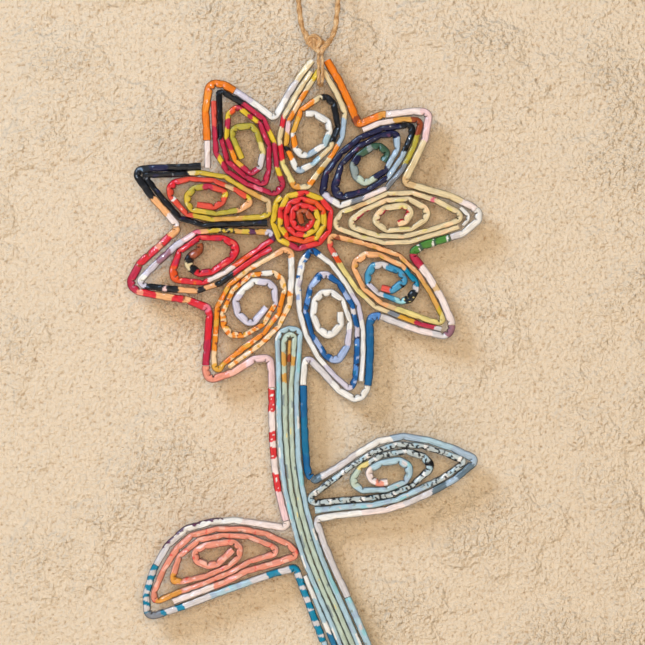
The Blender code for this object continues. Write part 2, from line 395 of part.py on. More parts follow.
def room_beside(lines, halves):
    """How far each run of each line can open to its right and to its left.

    The room is that of the largest circle that touches the run there and no other strip, and two
    strips that face each other take half of the free room each.
    """
    feelers = []
    for number, (line, half) in enumerate(zip(lines, halves)):
        runs = np.diff(line, axis=0)
        lengths = np.linalg.norm(runs, axis=1)
        reached = np.cumsum(lengths) - lengths
        for i, (run, length) in enumerate(zip(runs, lengths)):
            count = max(2, round(length / ROOM_STEP))
            for k in range(count):
                share = (k + 0.5) / count
                place = line[i] + share * run
                feelers.append((number, i, reached[i] + share * length, place[0], place[1],
                                run[1] / length, -run[0] / length, max(half[i], half[i + 1])))
    feelers = np.array(feelers)
    rooms = []
    for number, line in enumerate(lines):
        own = feelers[feelers[:, 0] == number]
        toward = feelers[None, :, 3:5] - own[:, None, 3:5]
        far = (toward ** 2).sum(2)
        beside = (toward * own[:, None, 5:7]).sum(2)
        bend = (feelers[None, :, 0] == number) & (np.abs(feelers[None, :, 2] - own[:, None, 2]) < BEND_REACH)
        taken = own[:, None, 7] + feelers[None, :, 7] + GLUE_GAP
        room = np.zeros((len(line) - 1, 2))
        for column, side in enumerate((1.0, -1.0)):
            facing = (side * beside > 1e-7) & ~bend
            free = np.where(facing, far / np.where(facing, side * beside, 1.0) - taken, np.inf).min(1)
            each = own[:, 7] + np.maximum(free, 0.0) / 2
            for i in range(len(line) - 1):
                room[i, column] = each[own[:, 1] == i].min()
        rooms.append(room)
    return rooms


def sprung_open(line, pressed, opened, room):
    """Half thickness at each point to its right and left, opened as far as the room there allows."""
    runs = np.diff(line, axis=0)
    lengths = np.linalg.norm(runs, axis=1)
    headings = np.unwrap(np.arctan2(runs[:, 1], runs[:, 0]))
    sides = np.empty((len(line), 2))
    for i in range(len(line)):
        beside = room[max(i - 1, 0):i + 1].min(0)
        if 0 < i < len(line) - 1:
            turn = abs(headings[i] - headings[i - 1])
            beside = np.minimum(beside, 0.45 * min(lengths[i - 1], lengths[i]) / max(math.tan(turn / 2), 0.1))
        sides[i] = np.clip(beside, pressed / 2, opened / 2)
    return sides


def trimmed(line, at_start, at_end):
    """The line with this much taken off its first and last runs."""
    line = line.copy()
    if at_start:
        line[0] += at_start * (line[1] - line[0]) / np.linalg.norm(line[1] - line[0])
    if at_end:
        line[-1] += at_end * (line[-2] - line[-1]) / np.linalg.norm(line[-2] - line[-1])
    return line


def new_material(name, color):
    material = bpy.data.materials.new(name)
    material.use_nodes = True
    shader = material.node_tree.nodes["Principled BSDF"]
    shader.inputs["Base Color"].default_value = (*COLORS[color], 1.0)
    shader.inputs["Roughness"].default_value = 0.45
    material.diffuse_color = (*COLORS[color], 1.0)
    return material


def add_solid(name, vertices, faces, color):
    mesh = bpy.data.meshes.new(name)
    mesh.from_pydata([tuple(v) for v in vertices], [], faces)
    mesh.validate()
    mesh.materials.append(new_material(name + "_paper" if color != "jute" else name + "_fibre", color))
    solid = bpy.data.objects.new(name, mesh)
    flower.objects.link(solid)
    return solid


def add_strip(name, line, sides, depth, color):
    """Sweep a strip on edge along the line: flat back on the wall plane, front folds rounded.

    sides holds the half thickness to the right and to the left of every point of the line.
    """
    rounding = min(FOLD_ROUNDING, 0.8 * sides.min())
    cut = rounding * (1 - math.sqrt(0.5))
    runs = np.diff(line, axis=0)
    runs = runs / np.linalg.norm(runs, axis=1, keepdims=True)
    before = np.vstack([runs[:1], runs])
    after = np.vstack([runs, runs[-1:]])
    middle = before + after
    middle = middle / np.linalg.norm(middle, axis=1, keepdims=True)
    mitre = 1 / np.maximum((middle * after).sum(1), 0.6)
    vertices = []
    for point, heading, stretch, (right, left) in zip(line, middle, mitre, sides):
        section = [(-left, 0.0), (right, 0.0), (right, rounding - depth), (right - cut, cut - depth),
                   (right - rounding, -depth), (rounding - left, -depth), (cut - left, cut - depth),
                   (-left, rounding - depth)]
        for side, y in section:
            across = side * stretch
            vertices.append((point[0] + across * heading[1], y, point[1] - across * heading[0]))
    corners = len(section)
    faces = []
    for i in range(len(line) - 1):
        for j in range(corners):
            k = (j + 1) % corners
            low = i * corners
            high = low + corners
            faces.append((low + j, high + j, high + k, low + k))
    faces.append(tuple(range(corners)))
    faces.append(tuple(reversed(range(len(vertices) - corners, len(vertices)))))
    add_solid(name, vertices, faces, color)


def add_cord(name, route, diameter, color):
    """A round cord along the route, with closed ends."""
    curve = bpy.data.curves.new(name, "CURVE")
    curve.dimensions = "3D"
    curve.bevel_depth = diameter / 2
    curve.bevel_resolution = 2
    curve.use_fill_caps = True
    spline = curve.splines.new("POLY")
    spline.points.add(len(route) - 1)
    for point, place in zip(spline.points, route):
        point.co = (*place, 1.0)
    curve.materials.append(new_material(name + "_fibre", color))
    cord = bpy.data.objects.new(name, curve)
    flower.objects.link(cord)


def add_knot(name, center, size, color, rings=8, around=14):
    """A tight rounded knot, drawn as a closed lump a little fuller above than below."""
    vertices = [(center[0], center[1], center[2] + size[2] / 2)]
    for i in range(1, rings):
        slope = math.pi * i / rings
        fullness = 1.0 - 0.18 * i / rings
        for j in range(around):
            turn = 2 * math.pi * j / around
            vertices.append((center[0] + size[0] / 2 * fullness * math.sin(slope) * math.cos(turn),
                             center[1] + size[1] / 2 * fullness * math.sin(slope) * math.sin(turn),
                             center[2] + size[2] / 2 * math.cos(slope)))
    vertices.append((center[0], center[1], center[2] - size[2] / 2))
    faces = []
    for j in range(around):
        faces.append((0, 1 + j, 1 + (j + 1) % around))
        last = 1 + (rings - 2) * around
        faces.append((last + (j + 1) % around, last + j, len(vertices) - 1))
    for i in range(rings - 2):
        for j in range(around):
            low = 1 + i * around
            k = (j + 1) % around
            faces.append((low + j, low + around + j, low + around + k, low + k))
    add_solid(name, vertices, faces, color)


def even_route(points, spacing):
    """Points at an even spacing along a smooth line through the given ones, in the plane or in space."""
    fine = smooth_line(np.array(points, float))
    along = np.concatenate([[0.0], np.cumsum(np.linalg.norm(np.diff(fine, axis=0), axis=1))])
    at = np.linspace(0.0, along[-1], max(3, round(along[-1] / spacing) + 1))
    return np.stack([np.interp(at, along, fine[:, axis]) for axis in range(fine.shape[1])], 1)


for old in list(bpy.data.objects):
    bpy.data.objects.remove(old)

flower = bpy.data.collections.new("paper_flower")
bpy.context.scene.collection.children.link(flower)

# Lines and half thicknesses of all strips, rolled ones first and then the chains of the band.
lines = []
halves = []
for name, thickness, opened, depth, color, points in ROLLS:
    line = creased_line(grid_to_plane(points))
    lines.append(line)
    halves.append(np.full(len(line), thickness / 2))
chain_piece_of = []
for chain in CHAINS:
    chain_line = []
    chain_half = []
    piece_of = []
    for number, (name, thickness, color, points) in enumerate(chain):
        line = creased_line(grid_to_plane(points))
        chain_line.append(line)
        chain_half.append(np.full(len(line), thickness / 2))
        piece_of += [number] * len(line)
    lines.append(np.vstack(chain_line))
    halves.append(np.concatenate(chain_half))
    chain_piece_of.append(np.array(piece_of))
settled = ease_apart(lines, halves)
rooms = room_beside(settled, halves)

for (name, thickness, opened, depth, color, points), line, room in zip(ROLLS, settled, rooms):
    add_strip(name, line, sprung_open(line, thickness, opened, room), depth, color)

for chain, piece_of, line in zip(CHAINS, chain_piece_of, settled[len(ROLLS):]):
    for number, (name, thickness, color, points) in enumerate(chain):
        own = line[piece_of == number]
        if number > 0:
            meeting = (own[0] + line[piece_of == number - 1][-1]) / 2
            own = trimmed(np.vstack([meeting, own]), GLUE_GAP / 2, 0.0)
        if number < len(chain) - 1:
            meeting = (own[-1] + line[piece_of == number + 1][0]) / 2
            own = trimmed(np.vstack([own, meeting]), 0.0, GLUE_GAP / 2)
        add_strip(name, own, np.full((len(own), 2), thickness / 2), BAND_DEPTH, color)

loop = even_route(grid_to_plane(LOOP_POINTS), 2.2 * CORD_DIAMETER)
add_cord("hanging_cord", [(p[0], CORD_PLANE, p[1]) for p in loop], CORD_DIAMETER, "jute")

knot_place = grid_to_plane([KNOT_CENTER])[0]
add_knot("cord_knot", (knot_place[0], CORD_PLANE - 0.4 * MM, knot_place[1]),
         (KNOT_WIDTH, KNOT_DEPTH, KNOT_HEIGHT), "jute")

# The tie runs down in front of the top petal, dips into its tip and comes back up beside itself.
front = -PETAL_DEPTH - TIE_DIAMETER / 2 - TIE_CLEARANCE
tie_rows = [TIE_TOP_ROW, TIE_FRONT_ROW, TIE_BEND_ROW - 8.0, TIE_BEND_ROW, TIE_LOW_ROW, TIE_LOW_ROW + 1.2]
tie_depths = [CORD_PLANE - 1.2 * MM, front, front, front + 0.3 * MM, front + 3.0 * MM, front + 4.6 * MM]
left_side = grid_to_plane([(TIE_LEFT_COLUMN, row) for row in tie_rows])
right_side = grid_to_plane([(TIE_RIGHT_COLUMN, row) for row in tie_rows])
bend = grid_to_plane([((TIE_LEFT_COLUMN + TIE_RIGHT_COLUMN) / 2, TIE_LOW_ROW + 1.6)])[0]
tie = [(p[0], y, p[1]) for p, y in zip(left_side, tie_depths)]
tie += [(bend[0], tie_depths[-1] + 1.1 * MM, bend[1])]
tie += [(p[0], y, p[1]) for p, y in zip(right_side[::-1], tie_depths[::-1])]
add_cord("cord_tie", even_route(tie, 1.6 * TIE_DIAMETER), TIE_DIAMETER, "jute")
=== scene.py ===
# %% [markdown]
# # A hanging flower of folded paper strips
#
# The flower is made from strips of printed, varnished paper, each folded over to about two
# millimetres and set on edge.  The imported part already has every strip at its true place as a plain
# swept body.  This notebook reads each strip's centre line back from that body, sweeps a folded
# paper section along it with Geometry Nodes, and paints it with the colours of its printed paper.
# The cord and its knot are twisted from plies, and a plastered wall stands behind it all.

import math
import random

import bpy
import numpy as np
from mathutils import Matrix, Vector


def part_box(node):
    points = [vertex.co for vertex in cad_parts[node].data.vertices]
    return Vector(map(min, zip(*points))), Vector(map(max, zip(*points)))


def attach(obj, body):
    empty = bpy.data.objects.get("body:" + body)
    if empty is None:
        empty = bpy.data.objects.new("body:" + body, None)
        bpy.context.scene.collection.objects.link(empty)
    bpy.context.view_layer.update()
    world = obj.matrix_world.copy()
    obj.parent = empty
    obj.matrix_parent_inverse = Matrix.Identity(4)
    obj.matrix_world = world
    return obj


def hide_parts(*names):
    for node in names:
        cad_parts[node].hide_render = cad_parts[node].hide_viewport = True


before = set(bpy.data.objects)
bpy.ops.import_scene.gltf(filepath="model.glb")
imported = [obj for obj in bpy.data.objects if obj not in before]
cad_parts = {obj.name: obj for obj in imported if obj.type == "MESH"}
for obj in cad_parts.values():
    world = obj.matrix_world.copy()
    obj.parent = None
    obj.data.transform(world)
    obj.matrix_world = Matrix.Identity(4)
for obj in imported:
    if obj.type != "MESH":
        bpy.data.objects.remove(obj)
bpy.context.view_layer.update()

# %% [markdown]
# ## The drawing grid
#
# Places on the flower are named by the column and row of the drawing grid that the part uses, with
# columns to the right and rows downwards.  The hang point is the origin of the part.

# %% Grid places in metres
MM = 0.001
GRID_STEP = 0.45 * MM
HANG_COLUMN = 318.0
HANG_ROW = -26.0


def on_grid(column, row):
    """A grid place as metres across and up from the hang point."""
    return np.array([(column - HANG_COLUMN) * GRID_STEP, (HANG_ROW - row) * GRID_STEP])


def run_along(points):
    """How far along a line each of its points lies, from 0 at the first."""
    return np.concatenate([[0.0], np.cumsum(np.linalg.norm(np.diff(points, axis=0), axis=1))])


def add_object(name, data):
    """A new object in the scene."""
    made = bpy.data.objects.new(name, data)
    bpy.context.scene.collection.objects.link(made)
    return made


def linear(red, green, blue):
    """A display colour, 0 to 255, as the linear colour that shaders use."""
    return tuple((value / 255) ** 2.2 for value in (red, green, blue))


SHADES = {
    "amber": (225, 165, 60), "azure": (72, 150, 190), "black": (24, 24, 28), "blue": (24, 90, 152),
    "blue_grey": (165, 185, 203), "brick": (222, 80, 60), "brown": (150, 72, 38),
    "coil_red": (224, 52, 50), "coil_yellow": (222, 184, 52), "core_brown": (176, 84, 48),
    "cream": (226, 204, 160), "crimson": (186, 42, 70), "cyan": (150, 205, 215),
    "dark_green": (62, 92, 72), "dark_red": (140, 28, 40), "dusty": (212, 205, 205),
    "ginger": (222, 150, 62), "green": (72, 130, 48), "grey": (128, 132, 140),
    "grey_green": (140, 152, 150), "lavender": (208, 200, 214), "mauve": (150, 105, 120),
    "mustard": (208, 176, 60), "navy": (32, 31, 66), "ochre": (215, 160, 80), "olive": (180, 165, 60),
    "orange": (236, 138, 36), "orange_red": (228, 84, 34), "outline_orange": (232, 122, 28),
    "pale_blue": (172, 200, 212), "pale_green": (188, 202, 184), "pale_orange": (242, 206, 160),
    "pale_salmon": (240, 180, 160), "peach": (236, 172, 116), "periwinkle": (160, 178, 216),
    "pink": (235, 198, 198), "pink_white": (238, 220, 214), "plum": (92, 50, 82),
    "print_grey": (186, 196, 196), "red": (216, 38, 52), "red_block": (218, 56, 58),
    "rose": (230, 110, 130), "salmon": (232, 146, 122), "salmon_red": (228, 92, 78),
    "side_blue": (30, 98, 148), "sky": (82, 134, 200), "slate": (96, 116, 130), "tan": (214, 178, 128),
    "teal": (0, 128, 162), "teal_blue": (30, 110, 150), "white": (236, 232, 226),
    "yellow": (226, 190, 52), "yellow_cream": (228, 208, 132),
}
INKS = {name: linear(*shade) for name, shade in SHADES.items()}
print(len(INKS), "inks")

# %% [markdown]
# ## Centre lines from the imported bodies
#
# Each strip body has a flat back on the wall plane, a ribbon of triangles.  The rim of that ribbon
# goes down one side of the strip and back up the other, so the centre line is found by pairing the
# points across.  The lines could also be drawn again here, but reading them back keeps the paper
# exactly where the solids are.

# %% Read the centre line of a strip body
MICRONS = 1e6         # in a metre: places that agree to a micron are one place
WALL_REACH = 2e-6     # a corner this close to the wall plane belongs to the flat back


def back_rim(node):
    """The rim of a strip's flat back as one loop of points, across and up."""
    mesh = node.data
    mesh.calc_loop_triangles()
    key = {}
    places = []
    number = []
    for vertex in mesh.vertices:
        where = (round(vertex.co.x * MICRONS), round(vertex.co.z * MICRONS))
        if abs(vertex.co.y) > WALL_REACH:
            number.append(-1)
            continue
        if where not in key:
            key[where] = len(places)
            places.append((vertex.co.x, vertex.co.z))
        number.append(key[where])
    uses = {}
    for triangle in mesh.loop_triangles:
        corners = [number[i] for i in triangle.vertices]
        if min(corners) < 0 or len(set(corners)) < 3:
            continue
        for a, b in zip(corners, corners[1:] + corners[:1]):
            uses[(min(a, b), max(a, b))] = uses.get((min(a, b), max(a, b)), 0) + 1
    beside = {}
    for (a, b), count in uses.items():
        if count == 1:
            beside.setdefault(a, []).append(b)
            beside.setdefault(b, []).append(a)
    start = min(beside)
    loop = [start]
    previous = None
    here = start
    while True:
        following = [n for n in beside[here] if n != previous]
        previous, here = here, following[0]
        if here == start:
            break
        loop.append(here)
    return np.array([places[i] for i in loop])


def centre_line(node):
    """The centre line of a strip body and half its thickness at each point, from its rim."""
    rim = back_rim(node)
    count = len(rim)
    half = count // 2
    best = None
    for split in range(half):
        left = rim[[(split - k) % count for k in range(half)]]
        right = rim[[(split + 1 + k) % count for k in range(half)]]
        widths = np.linalg.norm(left - right, axis=1)
        if best is None or widths.sum() < best[0]:
            best = (widths.sum(), (left + right) / 2, widths / 2)
    return best[1], best[2]


STRIPS = [name for name in sorted(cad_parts) if "cord" not in name]
lines = {}
halves = {}
for name in STRIPS:
    lines[name], halves[name] = centre_line(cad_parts[name])
print(len(lines), "centre lines,", round(sum(run_along(line)[-1] for line in lines.values()), 2), "m")

# %% [markdown]
# ## The printed colours
#
# A strip is painted from its inner end outwards.  Each mark says which ink starts at which grid
# place.  An ink can be one name, or a list of pieces that repeats until the next mark.  A piece is
# an ink and its length in millimetres, and may name the part of the width that it covers, from -1
# on the left to 1 on the right.  Where the paper had lettering, the strips have plain bars.  A few
# pieces and edges are painted highlights and painted shade.  A picture wrapped on the strips could
# do this too, but marks stay sharp and need no picture.

# %% Repeating prints, painted highlights and painted shade
ORANGE_RINGS = [("orange", 2.4), ("dark_red", 0.35), ("pale_orange", 1.0), ("orange", 1.7),
                ("pale_orange", 1.2), ("outline_orange", 1.6, -1.1, 0.4), ("pale_orange", 0.7),
                ("amber", 1.3, -0.2, 1.1)]
ORANGE_WIDE = [("orange", 4.2), ("brown", 0.3), ("orange", 3.4), ("pale_orange", 0.8),
               ("outline_orange", 3.1), ("amber", 2.4), ("brown", 0.25, -1.1, 0.5)]
PALE_RINGS = [("pale_orange", 2.4), ("orange", 1.5), ("pale_orange", 3.0), ("amber", 1.2, -1.1, 0.3)]
CREAM_PRINT = [("cream", 7.0), ("yellow_cream", 3.6, -1.1, 0.2), ("cream", 5.0), ("tan", 0.5, 0.4, 1.1),
               ("cream", 4.4), ("pale_orange", 3.2, -0.3, 1.1)]
# navy print; the short grey and dusty pieces are painted glints of the varnish
NAVY_PRINT_AND_GLINTS = [("navy", 5.6), ("grey", 0.5, -0.6, 0.2), ("navy", 4.0), ("dusty", 0.35, 0.1, 0.6),
              ("navy", 4.2), ("plum", 1.6, -1.1, 0.2)]
BLACK_PRINT = [("black", 8.0), ("navy", 2.0, -1.1, 0.0), ("black", 6.0), ("grey", 0.4, -0.5, 0.5)]
BLUE_PRINT = [("blue", 3.4), ("periwinkle", 1.6, -1.1, 0.0), ("blue", 2.2), ("navy", 0.7), ("sky", 2.6),
              ("white", 0.6, 0.1, 0.9), ("teal_blue", 2.2, -0.2, 1.1)]
WHITE_DAPPLES = [("white", 2.6), ("periwinkle", 2.4, -1.1, 0.3), ("white", 1.0), ("sky", 1.4, 0.0, 1.1),
                 ("white", 1.8), ("lavender", 2.6, -0.4, 1.1), ("blue", 1.2, -1.1, 0.0)]
PLAIN_BARS = [("print_grey", 1.3), ("black", 0.9, -0.8, 0.9), ("print_grey", 0.9), ("black", 0.8, -0.9, 0.3),
              ("pale_blue", 1.2), ("black", 0.9, -0.3, 0.9), ("print_grey", 0.9), ("black", 1.9, 0.4, 0.85),
              ("white", 1.1), ("black", 0.9, -0.85, 0.7), ("print_grey", 2.0), ("black", 1.6, -0.85, -0.4),
              ("black", 0.8, -0.6, 0.9)]
YELLOW_BARS = [("mustard", 1.2), ("black", 0.9), ("yellow_cream", 0.6, -0.5, 0.7), ("black", 0.7)]
# the rose pieces on the crimson are painted highlights
RED_LIGHTS = [("crimson", 5.0), ("rose", 1.8, 0.0, 0.5), ("crimson", 4.0), ("dark_red", 2.0, -1.1, -0.3)]
PETAL_RED = [("red", 5.0), ("salmon_red", 2.2, -0.1, 0.6), ("red", 3.4), ("crimson", 2.6, -1.1, 0.1)]
RED_DASHES = [("red", 2.8), ("orange_red", 2.0, -0.4, 1.1), ("yellow", 0.45, -0.2, 0.6), ("red", 2.4)]
SALMON_PRINT = [("salmon", 6.0), ("pale_salmon", 3.4, -0.2, 1.1), ("salmon", 4.0), ("salmon_red", 0.5),
                ("salmon", 5.0), ("pale_salmon", 2.6, -1.1, 0.1)]
BRICK_PRINT = [("brick", 5.0), ("red", 2.4, -1.1, 0.2), ("brick", 4.0), ("pale_salmon", 0.8, -0.1, 0.4)]
AZURE_PRINT = [("azure", 3.6), ("teal_blue", 2.0, -1.1, 0.1), ("azure", 2.2), ("slate", 1.2, 0.1, 1.1)]
PEACH_PRINT = [("peach", 5.0), ("ochre", 2.3, -1.1, 0.2), ("peach", 4.0), ("pale_orange", 2.6, 0.0, 1.1)]
TEAL_CHECKS = [("dusty", 2.0), ("teal", 3.1), ("dusty", 1.6), ("teal", 4.2)]
SMALL_CHECKS = [("dusty", 2.1), ("teal", 1.8)]
MARBLE = [("pale_blue", 4.0), ("dusty", 3.0, -0.5, 0.4), ("cyan", 3.6, -1.1, 0.2), ("pale_blue", 3.0),
          ("grey_green", 1.0, 0.0, 1.1), ("blue_grey", 2.4)]
STEM_PALE = [("pale_blue", 14.0), ("cyan", 9.0, -1.1, 0.3), ("pale_blue", 11.0),
             ("blue_grey", 7.0, -0.2, 1.1), ("white", 5.0, -0.9, -0.2)]
STEM_GREEN = [("pale_green", 14.0), ("grey_green", 5.0, -1.1, -0.2), ("pale_green", 9.0),
              ("yellow_cream", 3.0, 0.1, 0.6)]
RED_BLOCK = [("red_block", 2.6), ("white", 0.5, -0.5, 0.6), ("red_block", 1.4), ("white", 2.6, -0.1, 0.25)]
RED_BLOCKS = [("red_block", 1.6), ("white", 0.45, -0.6, 0.7), ("red_block", 1.3), ("white", 0.5, 0.0, 0.7)]

# Inks along one edge: ink, first place, last place, edge (1 inside the roll, -1 outside), share of width.
EDGES = {
    "cream_petal": [
        ("red", (398, 227), (400, 204), 1, 0.20), ("crimson", (388, 204), (374, 222), 1, 0.16),
        ("crimson", (368, 206), (353, 224), 1, 0.20), ("brown", (431, 199), (352, 207.5), 1, 0.08)],
    "peach_petal": [("brown", (418, 272), (345, 239), -1, 0.14), ("brown", (425, 283), (380, 250), 1, 0.05)],
    # the plum edge inside the left leaf's outline is painted shadow in the gap
    "band_left_leaf": [("plum", (224, 523), (165.5, 550), 1, 0.24)],
    "right_leaf": [("black", (391, 450), (315, 503), -1, 0.12), ("black", (430, 466), (436, 480), 1, 0.12)],
    # the white edge on the stem's left side is a painted highlight
    "stem_outer": [("white", (296, 535), (279, 400), -1, 0.15)],
    "red_petal": [("black", (266, 231), (208, 229.7), -1, 0.14)],
    "orange_petal": [("white", (283, 294), (240, 345), 1, 0.06)],
    # the pale salmon edge along the left leaf is a painted highlight
    "left_leaf": [("pale_salmon", (233.5, 550), (181, 591), -1, 0.14)],
}
print(len(EDGES), "strips with coloured edges")

